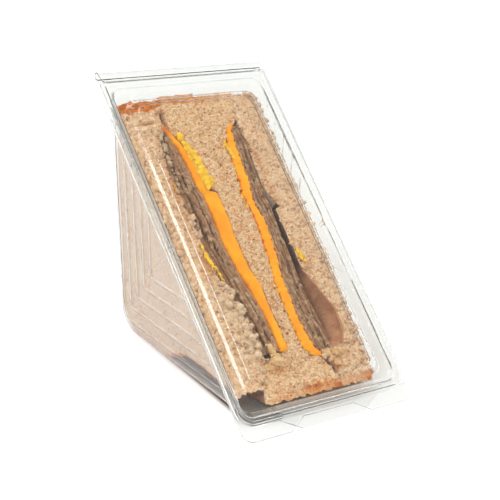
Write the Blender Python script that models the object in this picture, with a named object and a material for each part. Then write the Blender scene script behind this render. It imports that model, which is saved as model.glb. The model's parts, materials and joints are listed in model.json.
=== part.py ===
# A roast beef sandwich in its clear hinged wedge pack, standing on one leg.
#
# Everything is worked out in the pack's own frame, in millimetres:
#   x  across the pack, seen from the front
#   v  up the sloping front face, 0 at its lower end
#   d  depth behind the front face
# place() then leans that frame on the floor and turns it into metres.

import math
import bpy

for old in list(bpy.data.objects):
    bpy.data.objects.remove(old, do_unlink=True)

# ------------------------------------------------------------ driving sizes
SHEET = 0.5              # thickness of the clear plastic
OPEN_HALF = 43.75        # half width of the tray's opening
OPEN_LOW = -3.2          # v of the opening's lower edge
OPEN_HIGH = 170.5        # v of the opening's upper edge
WALL_DRAFT = 0.093       # the side walls close in by this per mm of depth
HEEL_RADIUS = 14.5       # round heel where the bottom meets the back
EDGE_FILLET = 5.5        # between the side walls and the legs
RIB_SPACING = 7.7        # nested ribs on the side walls
RIB_HEIGHT = 0.8
FLANGE_HALF = 47.2       # flange at its lower end, it widens upwards
FLANGE_FLARE = 1.6
FLANGE_TOP = 174.4
FLANGE_LOW = -7.0
FLANGE_ROUND = 2.0       # its corners beside the hinge
TAB_LOW = -12.6          # the two corner tabs that the pack stands on
TAB_ROUND = 5.0
TAB_INNER = 22.8
TAB_ROOT = 14.0
LIP = 0.9                # the flange's turned-down edge
LIP_SPREAD = 0.35        # the turned-down edge leans out by this
FLANGE_DEPTH = 0.25      # middle of the flange's sheet
RIM_DEPTH = 1.0          # where the walls turn over into the flange
RIM_BEND = ((0.25, 0.5), (0.9, FLANGE_DEPTH))    # (outwards, depth)
RIM_STRETCH = 1.6        # the bend is longer along v, on the sloping legs
TIGHTEST = 1.2           # smallest heel radius, on the innermost rib
RIB_COUNT = 5
RIB_FIRST = 2.6          # from the edge's fillet to the first rib
RIB_HALF = 1.0
RIB_AT_RIM = 0.4         # ribs fade to this share of their height at the rim
RIB_AT_HEEL = 0.35       # and to this share round the heel
FILLET_ANGLES = (90, 67, 45, 22, 0)
HEEL_STEPS = 4

LID_HALF = 47.4
LID_TAB_LOW = -13.0      # the lid's middle tab, between the tray's two
LID_TAB_HALF = 17.8
LID_TAB_ROOT = 27.5
LID_TOP = 173.4
BEAD_HEIGHT = 0.9
GROOVE_DEPTH = 2.15
PANEL_HALF = 34.0
PANEL_LOW = 6.8
PANEL_HIGH = 160.6
HINGE_V = 177.0          # axis of the rolled hinge
HINGE_N = 0.3
HINGE_RADIUS = 1.75
HINGE_SHORT = 1.6        # the lid's top edge is this much shorter per side
ROLL_STEP = 30           # degrees
ROLL_END = -150
CORNER_STEPS = 4

# The lid's section, from its outer edge in to the raised panel.
LID_FLAT = 0.3 + SHEET / 2           # its flange lies on the tray's
LID_BEAD = LID_FLAT + BEAD_HEIGHT
PLUG_HALF = OPEN_HALF - 0.35 - SHEET / 2    # it plugs into the tray
PLUG_LOW = OPEN_LOW + 0.6
PLUG_HIGH = OPEN_HIGH - 0.6
LID_LOOPS = (
    # (half width, low end, high end, low radius, high radius, height)
    (LID_HALF, FLANGE_LOW, LID_TOP, 8.0, 1.6, LID_FLAT),
    (LID_HALF - 0.4, FLANGE_LOW + 0.4, LID_TOP - 0.4, 7.6, 1.5, LID_FLAT),
    (LID_HALF - 1.0, FLANGE_LOW + 1.0, LID_TOP - 0.9, 7.2, 1.8, LID_BEAD),
    (LID_HALF - 1.7, FLANGE_LOW + 1.7, LID_TOP - 1.5, 6.9, 2.2, LID_BEAD),
    (LID_HALF - 2.3, FLANGE_LOW + 2.3, LID_TOP - 2.0, 6.7, 2.6, LID_FLAT),
    (PLUG_HALF + 0.7, PLUG_LOW - 0.6, PLUG_HIGH + 0.6, 6.5, 6.2, LID_FLAT),
    (PLUG_HALF + 0.1, PLUG_LOW, PLUG_HIGH, 6.5, 6.5, LID_FLAT - 0.25),
    (PLUG_HALF, PLUG_LOW + 0.7, PLUG_HIGH - 0.7, 6.5, 6.5, -0.4),
    (PLUG_HALF - 0.3, PLUG_LOW + 2.1, PLUG_HIGH - 2.1, 6.5, 6.5,
     0.35 - GROOVE_DEPTH),
    (PLUG_HALF - 0.8, PLUG_LOW + 2.8, PLUG_HIGH - 2.8, 6.5, 6.5,
     -GROOVE_DEPTH),
    (PANEL_HALF + 3.2, PANEL_LOW - 2.6, PANEL_HIGH + 2.6, 6.2, 6.2,
     -GROOVE_DEPTH),
    (PANEL_HALF + 2.4, PANEL_LOW - 1.9, PANEL_HIGH + 1.9, 6.0, 6.0,
     0.35 - GROOVE_DEPTH),
    (PANEL_HALF + 0.6, PANEL_LOW - 0.5, PANEL_HIGH + 0.5, 5.8, 5.8, -0.1),
    (PANEL_HALF - 0.3, PANEL_LOW + 0.3, PANEL_HIGH - 0.3, 5.6, 5.6, 0.25),
)

CUT_DEPTH = 4.2          # the sandwich's cut face lies this far behind
FOOD_GAP = 0.5           # room between the bread and the tray
LOAF_CORNER = 15.0       # round corner of the slices
CRUST_ROUND = 6.0        # outer edge of the two outer slices
SEAM = 0.3               # room between neighbouring layers
FOLD_THICK = 1.9         # the beef slice that leans on the bread
FOLD_POKE = 0.2
FOLD_LAST = 9            # the last column that it reaches

MID_V = (OPEN_LOW + OPEN_HIGH) / 2
APEX = (OPEN_HIGH - OPEN_LOW) / 2        # depth where the legs would meet
ROOT2 = math.sqrt(2)


def smooth(a, b, x):
    t = min(1.0, max(0.0, (x - a) / (b - a)))
    return t * t * (3 - 2 * t)


def mix(a, b, t):
    return a + (b - a) * t


# --------------------------------------------------------------- mesh tools
def offset_shell(points, faces, thickness):
    """A closed sheet of even thickness around an open surface."""
    def normal(face):
        n = [0.0, 0.0, 0.0]
        for k in range(len(face)):
            p, q = points[face[k]], points[face[(k + 1) % len(face)]]
            n[0] += (p[1] - q[1]) * (p[2] + q[2])
            n[1] += (p[2] - q[2]) * (p[0] + q[0])
            n[2] += (p[0] - q[0]) * (p[1] + q[1])
        size = math.sqrt(sum(c * c for c in n)) or 1.0
        return [c / size for c in n]

    normals = [normal(f) for f in faces]
    around = [[] for _ in points]
    for f, n in zip(faces, normals):
        for k in f:
            around[k].append(n)
    front, back = [], []
    for p, ns in zip(points, around):
        s = [sum(c) for c in zip(*ns)]
        size = math.sqrt(sum(c * c for c in s)) or 1.0
        s = [c / size for c in s]
        lean = sum(sum(a * b for a, b in zip(s, n)) for n in ns) / len(ns)
        reach = thickness / 2 / max(0.6, lean)
        front.append([a + b * reach for a, b in zip(p, s)])
        back.append([a - b * reach for a, b in zip(p, s)])
    count = len(points)
    out = [list(f) for f in faces]
    out += [[k + count for k in reversed(f)] for f in faces]
    used = {}
    for f in faces:
        for k in range(len(f)):
            used[(f[k], f[(k + 1) % len(f)])] = True
    for a, b in used:
        if (b, a) not in used:
            out.append([b, a, a + count, b + count])
    return front + back, out


def slab(left, right, ts, ds):
    """A closed solid between two surfaces x = left(t, d) and right(t, d)."""
    points, faces = [], []
    for side in (left, right):
        for d in ds:
            for t in ts:
                points.append(side(t, d))
    nt, nd = len(ts), len(ds)

    def at(side, i, j):
        return side * nt * nd + j * nt + i

    for j in range(nd - 1):
        for i in range(nt - 1):
            a, b, c, e = (at(0, i, j), at(0, i + 1, j),
                          at(0, i + 1, j + 1), at(0, i, j + 1))
            # Both sides split along a-c, so that neighbours stay parallel.
            faces.append([a, b, c, e])
            faces.append([k + nt * nd for k in (c, b, a, e)])
    rim = [(i, 0) for i in range(nt)]
    rim += [(nt - 1, j) for j in range(1, nd)]
    rim += [(i, nd - 1) for i in range(nt - 2, -1, -1)]
    rim += [(0, j) for j in range(nd - 2, 0, -1)]
    for k in range(len(rim)):
        (i, j), (m, n) = rim[k], rim[(k + 1) % len(rim)]
        faces.append([at(0, m, n), at(0, i, j), at(1, i, j), at(1, m, n)])
    return points, faces


# --------------------------------------------------------------------- tray
def wall_x(d):
    """Inside of the side wall at depth d."""
    return OPEN_HALF - WALL_DRAFT * d


def leg_point(a, b):
    """(v, d) of a point a along the bottom leg and b up the back leg."""
    return MID_V + (b - a) / ROOT2, APEX - (a + b) / ROOT2


def tray_surface():
    skin = SHEET / 2                     # the sheet's middle lies outside
    leg = APEX * ROOT2
    rim = leg - RIM_DEPTH * ROOT2
    middle = leg / 2 - RIM_DEPTH / ROOT2
    # The heel's first step is chosen so that one facet lies on the floor.
    turn = [0, 2 * LEAN]
    turn += [mix(2 * LEAN, math.pi / 2 - 2 * LEAN, k / HEEL_STEPS)
             for k in range(1, HEEL_STEPS + 1)]
    turn += [math.pi / 2]

    # Across the pack: (inset from the legs, share of the rib's height)
    side = [(middle, 0.0),
            (EDGE_FILLET + RIB_COUNT * RIB_SPACING + 2 * RIB_HALF, 0.0)]
    for k in range(RIB_COUNT - 1, -1, -1):
        foot = EDGE_FILLET + RIB_FIRST + k * RIB_SPACING
        side += [(foot + RIB_HALF, 0.0), (foot, 1.0), (foot - RIB_HALF, 0.0)]
    # Columns: (side, inset, sideways step, rib, angle round the fillet)
    columns = [(-1, s, 0.0, r, 90.0) for s, r in side]
    for angle in FILLET_ANGLES:
        c = math.radians(angle)
        columns.append((-1, EDGE_FILLET * (1 - math.cos(c)),
                        EDGE_FILLET * (1 - math.sin(c)), 0.0, float(angle)))
    trough = [-TAB_INNER, -TAB_ROOT, TAB_ROOT, TAB_INNER]
    columns += [(0, 0.0, x, 0.0, 0.0) for x in trough]
    columns += [(1, s, step, r, angle)
                for sign, s, step, r, angle in reversed(columns)
                if sign == -1]

    points = []

    def add(x, v, d):
        points.append([x, v, -d])
        return len(points) - 1

    grid = []
    for sign, inset, step, rib, _ in columns:
        outside = inset - skin
        radius = max(HEEL_RADIUS - outside, TIGHTEST)
        centre = outside + radius
        path = [(rim - outside, outside, RIB_AT_RIM)]
        for angle in turn:
            path.append((centre - radius * math.sin(angle),
                         centre - radius * math.cos(angle),
                         RIB_AT_HEEL if 0 < angle < math.pi / 2 else 1.0))
        path.append((outside, rim - outside, RIB_AT_RIM))
        row = []
        for a, b, fade in path:
            v, d = leg_point(a, b)
            x = step if sign == 0 else sign * (
                wall_x(d) + skin - step + rib * fade * RIB_HEIGHT)
            row.append(add(x, v, d))
        grid.append(row)

    faces = []
    for left, right in zip(grid, grid[1:]):
        for k in range(len(left) - 1):
            faces.append([left[k], left[k + 1], right[k + 1], right[k]])

    # The flange goes round the opening: along the front, then back again.
    loop = [(k, 0) for k in range(len(columns))]
    loop += [(k, 1) for k in range(len(columns) - 1, -1, -1)]

    def flange_x(v):
        return FLANGE_HALF + FLANGE_FLARE * smooth(0, FLANGE_TOP, v)

    rings = [[], [], [], [], []]
    for k, high in loop:
        sign, inset, step, rib, angle = columns[k]
        start = points[grid[k][-1 if high else 0]]
        rings[0].append(grid[k][-1 if high else 0])
        c = math.radians(angle)
        along = 1 if high else -1
        out = (sign * math.sin(c), along * math.cos(c) if sign else along)
        if sign == 0:
            out = (0.0, along)
        for ring, (step, d) in enumerate(RIM_BEND, 1):
            rings[ring].append(add(start[0] + out[0] * step,
                                   start[1] + out[1] * step * RIM_STRETCH, d))
        if sign == 0:
            x = start[0]
            v = FLANGE_TOP if high else (
                TAB_LOW if abs(x) > TAB_ROOT + 1 else FLANGE_LOW)
        elif angle == 90 and inset > EDGE_FILLET + 0.1:
            v = start[1]
            x = sign * flange_x(v)
        else:
            r = FLANGE_ROUND if high else TAB_ROUND
            end = FLANGE_TOP if high else TAB_LOW
            v = end - along * r * (1 - math.cos(c))
            x = sign * (flange_x(v) - r * (1 - math.sin(c)))
        rings[3].append(add(x, v, FLANGE_DEPTH))
        rings[4].append(add(x + out[0] * LIP_SPREAD, v + out[1] * LIP_SPREAD,
                            LIP))
    count = len(loop)
    for inner, outer in zip(rings, rings[1:]):
        for k in range(count):
            m = (k + 1) % count
            if inner[k] == inner[m]:
                continue
            faces.append([inner[k], inner[m], outer[m], outer[k]])
    return points, faces


def merge_doubles(points, faces, limit=1e-4):
    """Join points that coincide, and drop the edges that vanish."""
    seen, remap, kept = {}, [], []
    for p in points:
        key = tuple(round(c / limit) for c in p)
        if key not in seen:
            seen[key] = len(kept)
            kept.append(p)
        remap.append(seen[key])
    out = []
    for f in faces:
        g = [remap[k] for k in f]
        g = [k for i, k in enumerate(g) if k != g[i - 1]]
        if len(g) >= 3:
            out.append(g)
    return kept, out


# ---------------------------------------------------------------------- lid
def lid_surface():
    def loop(half, low, high, r_low, r_high, n, tab):
        pts = [(-LID_TAB_ROOT, low), (-LID_TAB_HALF, tab),
               (LID_TAB_HALF, tab), (LID_TAB_ROOT, low)]
        for cx, cv, r, start in (
                (half - r_low, low + r_low, r_low, -90),
                (half - r_high, high - r_high, r_high, 0),
                (-half + r_high, high - r_high, r_high, 90),
                (-half + r_low, low + r_low, r_low, 180)):
            for k in range(CORNER_STEPS + 1):
                a = math.radians(start + 90 * k / CORNER_STEPS)
                pts.append((cx + r * math.cos(a), cv + r * math.sin(a)))
        return [[x, v, n] for x, v in pts]

    # Only the outermost loop has the tab.
    loops = [loop(*row, LID_TAB_LOW if row is LID_LOOPS[0] else row[1])
             for row in LID_LOOPS]
    points, faces = [], []
    rows = []
    for pts in loops:
        rows.append(list(range(len(points), len(points) + len(pts))))
        points += pts
    count = len(rows[0])
    for outer, inner in zip(rows, rows[1:]):
        for k in range(count):
            m = (k + 1) % count
            faces.append([outer[k], outer[m], inner[m], inner[k]])
    faces.append(list(rows[-1]))

    # The rolled hinge grows out of the straight top edge.
    right = rows[0][4 + 2 * (CORNER_STEPS + 1) - 1]
    left = rows[0][4 + 2 * (CORNER_STEPS + 1)]
    profile = [(LID_TOP + 0.5, LID_FLAT + 0.1),
               (LID_TOP + 1.2, LID_FLAT + 0.7),
               (HINGE_V - 1.2, HINGE_N + HINGE_RADIUS * 0.80)]
    profile += [(HINGE_V + HINGE_RADIUS * math.cos(math.radians(a)),
                 HINGE_N + HINGE_RADIUS * math.sin(math.radians(a)))
                for a in range(90, ROLL_END - 1, -ROLL_STEP)]
    for v, n in profile:
        wide = LID_HALF - HINGE_SHORT * (1 - smooth(LID_TOP, HINGE_V, v))
        a, b = len(points), len(points) + 1
        points += [[wide, v, n], [-wide, v, n]]
        faces.append([right, a, b, left])
        right, left = a, b
    return points, faces


# --------------------------------------------------------------------- food
# Where one layer meets the next on the cut face, as (v, x) read upwards.
LAYERS = {
    "outer_left": ((0, -40.3), (165, -40.3)),
    "beef_a": ((0, -27.9), (11, -25.3), (20, -18.6), (37, -21.2),
               (55, -22.9), (73, -23.8), (89, -25.3), (107, -26.5),
               (125, -27.6), (141, -25.3), (150, -19.2), (165, -17.2)),
    "cheese_a": ((0, -27.7), (11, -25.1), (20, -13.8), (26, -9.3),
                 (37, -9.4), (55, -11.2), (73, -13.8), (89, -14.6),
                 (107, -14.6), (125, -16.0), (141, -17.2), (147, -19.0),
                 (165, -17.0)),
    "bread_b": ((0, -27.5), (11, -24.9), (20, -12.2), (26, -4.7),
                (37, -3.5), (55, -4.4), (73, -6.7), (89, -7.5),
                (107, -6.3), (114, -9.4), (125, -10.3), (141, -11.8),
                (148, -18.0), (165, -16.8)),
    "bread_c": ((0, -6.5), (55, -0.4), (89, 0.0), (125, 2.2), (165, 3.1)),
    "cheese_b": ((0, 14.6), (10, 15.3), (17, 9.0), (23, 3.2), (37, 2.8),
                 (55, 3.1), (73, 5.8), (89, 7.4), (98, 7.6), (107, 6.4),
                 (116, 8.4), (134, 10.3), (143, 13.0), (150, 20.6),
                 (165, 25.2)),
    "beef_b": ((0, 14.8), (10, 15.5), (17, 11.4), (23, 9.2), (37, 7.8),
               (55, 8.2), (73, 11.1), (89, 12.9), (102, 11.8), (116, 13.8),
               (134, 15.3), (143, 18.4), (150, 21.2), (165, 25.4)),
    "beef_c": ((0, 15.0), (10, 15.8), (20, 18.0), (23, 18.9), (37, 18.6),
               (55, 18.2), (73, 19.0), (89, 20.2), (107, 20.0),
               (125, 20.9), (134, 22.4), (143, 21.6), (150, 21.8),
               (165, 25.6)),
    "bread_d": ((0, 15.2), (10, 16.4), (20, 24.6), (26, 29.4), (37, 29.8),
                (55, 28.3), (66, 23.6), (73, 21.4), (89, 20.9),
                (107, 21.0), (125, 21.4), (134, 22.9), (143, 22.0),
                (150, 22.2), (165, 25.8)),
    "outer_right": ((0, 35.0), (20, 36.6), (40, 37.6), (60, 38.6),
                    (100, 39.3), (165, 39.3)),
}
CUT_LOW = MID_V - (APEX - FOOD_GAP * ROOT2 - CUT_DEPTH)
CUT_HIGH = MID_V + (APEX - FOOD_GAP * ROOT2 - CUT_DEPTH)
FOOD_APEX = APEX - FOOD_GAP * ROOT2


def edge(name, t):
    """The named boundary at t, from 0 at the bottom of the cut to 1."""
    v = mix(CUT_LOW, CUT_HIGH, t)
    knots = LAYERS[name]
    v = min(max(v, knots[0][0]), knots[-1][0])
    for (v0, x0), (v1, x1) in zip(knots, knots[1:]):
        if v <= v1:
            return mix(x0, x1, smooth(v0, v1, v) * 0.5
                       + (v - v0) / (v1 - v0) * 0.5)
    return knots[-1][1]


def reach(d):
    """Half the slice's length, along v, at depth d."""
    circle = FOOD_APEX - LOAF_CORNER * ROOT2
    if d < FOOD_APEX - LOAF_CORNER / ROOT2:
        return FOOD_APEX - d
    return math.sqrt(max(LOAF_CORNER ** 2 - (d - circle) ** 2, 4.0))


def squeeze(d):
    """The layers close up with the side walls' draft."""
    return wall_x(d) / wall_x(CUT_DEPTH)


def crust_inset(w, d):
    """How far a point is from the slice's outline."""
    a = (FOOD_APEX - d - w) / ROOT2
    b = (FOOD_APEX - d + w) / ROOT2
    if a < LOAF_CORNER and b < LOAF_CORNER:
        return LOAF_CORNER - math.hypot(LOAF_CORNER - a, LOAF_CORNER - b)
    return min(a, b)


def rounding(w, d):
    s = min(max(crust_inset(w, d), 0.0), CRUST_ROUND)
    return CRUST_ROUND - math.sqrt(CRUST_ROUND ** 2 - (CRUST_ROUND - s) ** 2)


# Every layer uses the same columns and rows, so that neighbours meet without
# clashing. In front of PRISM the layers run straight out to the cut.
ACROSS = [0.0, 0.012, 0.03, 0.06, 0.10, 0.136, 0.19, 0.26, 0.34, 0.42, 0.50,
          0.58, 0.66, 0.74, 0.82, 0.891, 0.93, 0.965, 0.988, 1.0]
FIRST, LAST = 5, 15                      # columns that the fillings reach
PRISM = 5.4
INTO = [CUT_DEPTH, PRISM, 12.0, 24.0, 44.0, 66.0, 74.5, 79.3]
DEEPEST = 6                              # rows that the fillings reach


def along_row(t, d):
    """Where column t stands along v, from the middle of the row."""
    inner = reach(max(d, PRISM))
    first, last = ACROSS[FIRST], ACROSS[LAST]
    if t < first:
        return mix(-reach(d), inner * (2 * first - 1), t / first)
    if t > last:
        return mix(inner * (2 * last - 1), reach(d), (t - last) / (1 - last))
    return inner * (2 * t - 1)


def layer_x(name, t, d):
    """The named boundary's x at column t and depth d."""
    deep = max(d, PRISM)
    return edge(name, t) * squeeze(deep) + tuck(name, t, deep)


BREADS = {
    # name: (left, right, lift of the bottom edge, drop of the top edge)
    "bread_1": ("outer_left", "beef_a", 9.6, 2.2),
    "bread_2": ("bread_b", "bread_c", 0.0, 0.0),
    "bread_3": ("bread_c", "cheese_b", 0.0, 0.8),
    "bread_4": ("bread_d", "outer_right", 0.0, 1.8),
}


def bread(name):
    left_name, right_name, lift, drop = BREADS[name]

    def column(t, d):
        """Column t, moved for the lifted bottom edge and lowered top."""
        half = reach(d)
        forward = (FOOD_APEX - d) * ROOT2        # along the bottom leg
        raised = lift * (smooth(44, 78, forward)
                         - 0.38 * smooth(88, 118, forward))
        first, last = ACROSS[FIRST], ACROSS[LAST]
        if t < first:
            return mix(raised * ROOT2 / (2 * half), first, t / first)
        if t > last and half > 20:
            return mix(last, 1 - drop * ROOT2 / (2 * half),
                       (t - last) / (1 - last))
        return t

    def surface(boundary, gap):
        def point(t, d):
            u = column(t, d)
            w = along_row(u, d)
            x = layer_x(boundary, u, d) + gap
            if boundary == "outer_left":
                x += rounding(w, d)
            if boundary == "outer_right":
                x -= rounding(w, d)
            return [x, MID_V + w, -d]
        return point

    left_gap = 0.0 if left_name == "outer_left" else SEAM / 2
    right_gap = 0.0 if right_name == "outer_right" else -SEAM / 2
    return slab(surface(left_name, left_gap), surface(right_name, right_gap),
                ACROSS, INTO)


def tuck(boundary, t, d):
    """Behind the cut the flopped cheese and the open slice draw back in."""
    inward = smooth(CUT_DEPTH + 1, 22, d)
    v = mix(CUT_LOW, CUT_HIGH, t)
    inside = smooth(17, 26, v) * (1 - smooth(140, 147, v))
    if boundary == "bread_b":
        return -inward * inside * 2.6
    if boundary == "bread_d":
        return -inward * smooth(15, 30, v) * (1 - smooth(58, 72, v)) * 7.6
    return 0.0


def filling(lower, upper, share_from, share_to, wave, poke):
    """One slice of a stack: a share of the room between two boundaries."""
    def surface(share, gap):
        def point(t, d):
            ripple = 0.0
            if 0 < share < 1:
                ripple = wave * math.sin(9.5 * t + 7 * share
                                         + 0.06 * max(d, PRISM))
            x = mix(layer_x(lower, t, d), layer_x(upper, t, d),
                    share + ripple)
            return [x + gap, MID_V + along_row(t, d), -d]
        return point

    return slab(surface(share_from, SEAM / 2), surface(share_to, -SEAM / 2),
                ACROSS[FIRST:LAST + 1],
                [CUT_DEPTH - poke] + INTO[1:DEEPEST])


FILLINGS = {
    # name: (from, to, share from, share to, wave, poke out of the cut)
    "beef_1a": ("beef_a", "cheese_a", 0.00, 0.34, 0.05, -0.8),
    "beef_1b": ("beef_a", "cheese_a", 0.34, 0.68, 0.05, 0.3),
    "beef_1c": ("beef_a", "cheese_a", 0.68, 1.00, 0.05, -0.2),
    "cheese_1": ("cheese_a", "bread_b", 0.00, 1.00, 0.0, 1.1),
    "cheese_2": ("cheese_b", "beef_b", 0.00, 1.00, 0.0, 0.5),
    "beef_2a": ("beef_b", "beef_c", 0.00, 0.36, 0.04, 0.4),
    "beef_2b": ("beef_b", "beef_c", 0.36, 0.70, 0.04, -0.3),
    "beef_2c": ("beef_b", "beef_c", 0.70, 1.00, 0.04, 0.1),
}


def folded_slice():
    """The last beef slice leans on the right-hand bread, face outwards."""
    def surface(at_bread):
        def point(t, d):
            right = layer_x("bread_d", t, d) - SEAM / 2
            stack = layer_x("beef_c", t, d) + SEAM / 2
            room = min(FOLD_THICK, max(FOLD_POKE, right - stack))
            return [right if at_bread else right - room,
                    MID_V + along_row(t, d), -d]
        return point

    return slab(surface(False), surface(True), ACROSS[FIRST:FOLD_LAST + 1],
                [CUT_DEPTH - FOLD_POKE] + INTO[1:DEEPEST])


# ------------------------------------------------------------ onto the floor
def lean():
    """The pack tips back until its heel meets the floor with the tabs."""
    tip_v, tip_d = TAB_LOW - LIP_SPREAD, LIP + SHEET / 2
    along = ((APEX - tip_d) * ROOT2 - (tip_v - MID_V) * ROOT2) / 2
    up = ((APEX - tip_d) * ROOT2 + (tip_v - MID_V) * ROOT2) / 2
    drop = (HEEL_RADIUS - up) - (HEEL_RADIUS + SHEET)
    return math.atan(drop / (along - HEEL_RADIUS))


LEAN = lean()
SLOPE = math.pi / 4 - LEAN


def turned(x, v, n):
    return (x, v * math.cos(SLOPE) - n * math.sin(SLOPE),
            v * math.sin(SLOPE) + n * math.cos(SLOPE))


shapes = {}
tray_points, tray_faces = merge_doubles(*tray_surface())
shapes["tray"] = offset_shell(tray_points, tray_faces, SHEET)
shapes["lid"] = offset_shell(*lid_surface(), SHEET)
for name in BREADS:
    shapes[name] = bread(name)
for name, layer in FILLINGS.items():
    shapes[name] = filling(*layer)
shapes["beef_2_folded"] = folded_slice()

everything = [turned(*p) for points, _ in shapes.values() for p in points]
LIFT = -min(p[2] for p in everything)
BACK = -(min(p[1] for p in everything) + max(p[1] for p in everything)) / 2


def place(x, v, n):
    px, py, pz = turned(x, v, n)
    return px / 1000, (py + BACK) / 1000, (pz + LIFT) / 1000


# ---------------------------------------------------------------- materials
def material(name, colour, rough, clear=0.0):
    mat = bpy.data.materials.new(name)
    mat.use_nodes = True
    bsdf = mat.node_tree.nodes["Principled BSDF"]
    bsdf.inputs["Base Color"].default_value = (*colour, 1)
    bsdf.inputs["Roughness"].default_value = rough
    bsdf.inputs["Metallic"].default_value = 0.0
    bsdf.inputs["Transmission Weight"].default_value = clear
    mat.diffuse_color = (*colour, 1)
    return mat


COLOURS = {
    "tray": ((0.86, 0.90, 0.90), 0.06, 0.9),
    "lid": ((0.90, 0.93, 0.94), 0.05, 0.9),
    "bread": ((0.62, 0.46, 0.30), 0.85, 0.0),
    "beef": ((0.24, 0.16, 0.13), 0.60, 0.0),
    "cheese": ((0.95, 0.45, 0.06), 0.45, 0.0),
}

for name, (points, faces) in shapes.items():
    mesh = bpy.data.meshes.new(name)
    mesh.from_pydata([place(*p) for p in points], [], faces)
    mesh.validate()
    mesh.update()
    solid = bpy.data.objects.new(name, mesh)
    bpy.context.scene.collection.objects.link(solid)
    colour, rough, clear = COLOURS[name.split("_")[0]]
    mesh.materials.append(material(name, colour, rough, clear))

axis = place(0, HINGE_V, HINGE_N)
print("slope of the front face, degrees:", round(math.degrees(SLOPE), 3))
print("hinge axis through, metres:", [round(c, 6) for c in axis])
print("triangles:", sum(len(f) - 2 for _, fs in shapes.values() for f in fs))
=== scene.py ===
# %% [markdown]
# # A roast beef sandwich in its clear wedge pack
#
# The real thing is a sandwich of brown bread, roast beef, orange cheese and mustard, cut from
# corner to corner. Its two halves stand side by side in a clear wedge pack with a hinged lid.
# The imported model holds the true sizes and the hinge, so this script loads it first and builds
# every fine surface in the same place.

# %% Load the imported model
import json
import math

import bpy
import numpy as np
from mathutils import Matrix, Vector


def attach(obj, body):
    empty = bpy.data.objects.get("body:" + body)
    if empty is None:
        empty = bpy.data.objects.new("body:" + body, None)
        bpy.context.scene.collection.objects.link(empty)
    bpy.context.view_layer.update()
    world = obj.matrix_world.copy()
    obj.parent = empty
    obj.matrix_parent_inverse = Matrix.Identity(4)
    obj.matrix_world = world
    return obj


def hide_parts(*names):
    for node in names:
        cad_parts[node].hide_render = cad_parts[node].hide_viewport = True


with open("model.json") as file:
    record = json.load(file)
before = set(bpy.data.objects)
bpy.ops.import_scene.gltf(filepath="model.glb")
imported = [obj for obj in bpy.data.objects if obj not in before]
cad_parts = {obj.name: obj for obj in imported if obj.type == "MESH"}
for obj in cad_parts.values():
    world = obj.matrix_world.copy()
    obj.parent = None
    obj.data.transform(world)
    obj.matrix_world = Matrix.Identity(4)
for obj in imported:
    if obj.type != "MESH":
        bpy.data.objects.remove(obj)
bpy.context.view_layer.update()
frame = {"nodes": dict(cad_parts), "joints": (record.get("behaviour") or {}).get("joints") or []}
print("packed nodes:", ", ".join(sorted(frame["nodes"])))

# %% [markdown]
# ## The pack's own frame
#
# Everything in the pack follows its sloping front face. It is easier to model in a frame of the
# pack's own: x across, v up the sloping face and d behind it, all in millimetres. The hinge gives
# that frame its place and the lid's largest flat face gives its slope, so both come from the
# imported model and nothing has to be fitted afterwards.

# %% Pack frame
HINGE_V = 177.0          # the hinge's axis in the pack's frame
HINGE_N = 0.3
hinge = np.array(frame["joints"][0]["pos_m"])
panel = max(frame["nodes"]["lid"].data.polygons, key=lambda face: face.area)
slope = math.atan(abs(panel.normal.y / panel.normal.z))


def place(x, v, d):
    """World metres for pack coordinates in millimetres, given as numbers or arrays."""
    along = np.asarray(v, float) - HINGE_V
    out = -np.asarray(d, float) - HINGE_N
    y = along * math.cos(slope) - out * math.sin(slope)
    z = along * math.sin(slope) + out * math.cos(slope)
    return np.stack(np.broadcast_arrays(x, y, z), -1) / 1000 + hinge


print("slope of the front face, degrees:", round(math.degrees(slope), 2))

# %% [markdown]
# ## The camera
#
# The photograph was taken with a long lens, from the left of the pack and a little above it, and
# slightly rolled. The place and the angles were found by lining up the pack's outline. They are
# set once here, so that every piece can be compared with the photograph as it is made.

# %% Camera
CAMERA_PLACE = (-0.3271, -0.4453, 0.2658)
CAMERA_AZIMUTH = math.radians(-36.22)
CAMERA_ELEVATION = math.radians(20.78)
CAMERA_ROLL = math.radians(4.55)
CAMERA_LENS = 90

back = Vector((math.sin(CAMERA_AZIMUTH) * math.cos(CAMERA_ELEVATION),
               -math.cos(CAMERA_AZIMUTH) * math.cos(CAMERA_ELEVATION),
               math.sin(CAMERA_ELEVATION)))
right = Vector((0, 0, 1)).cross(back).normalized()
turn = Matrix((right, back.cross(right), back)).transposed().to_4x4()
camera = bpy.data.objects.new("camera", bpy.data.cameras.new("camera"))
camera.data.lens = CAMERA_LENS
camera.data.clip_start = 0.01
camera.matrix_world = (Matrix.Translation(CAMERA_PLACE) @ turn
                       @ Matrix.Rotation(CAMERA_ROLL, 4, "Z"))
bpy.context.scene.collection.objects.link(camera)
bpy.context.scene.camera = camera
print("camera distance to the pack, m:", round(Vector(CAMERA_PLACE).length, 3))

# %% [markdown]
# ## Small tools for node trees
#
# Materials and Geometry Nodes are both built from nodes. One helper adds a node and feeds its
# inputs, and another opens a group with named sockets. Sums, ramps and noise are so common that
# each has a short helper of its own, which keeps a tree readable as a list of what it does.


# %% Node tools
def put(tree, kind, *feeds, out=0, **settings):
    """Add a node. Each feed is an input's name or number with a value or a socket."""
    node = tree.nodes.new(kind)
    for key, value in settings.items():
        setattr(node, key, value)
    for socket, value in feeds:
        if isinstance(value, bpy.types.NodeSocket):
            tree.links.new(value, node.inputs[socket])
        else:
            node.inputs[socket].default_value = value
    return node.outputs[out]


def sums(tree, operation, *values):
    """One Math node."""
    return put(tree, "ShaderNodeMath", *enumerate(values), operation=operation)


def vectors(tree, operation, first, second):
    """One Vector Math node. To scale, the second value is a factor."""
    socket = "Scale" if operation == "SCALE" else 1
    return put(tree, "ShaderNodeVectorMath", (0, first), (socket, second),
               operation=operation)


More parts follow.
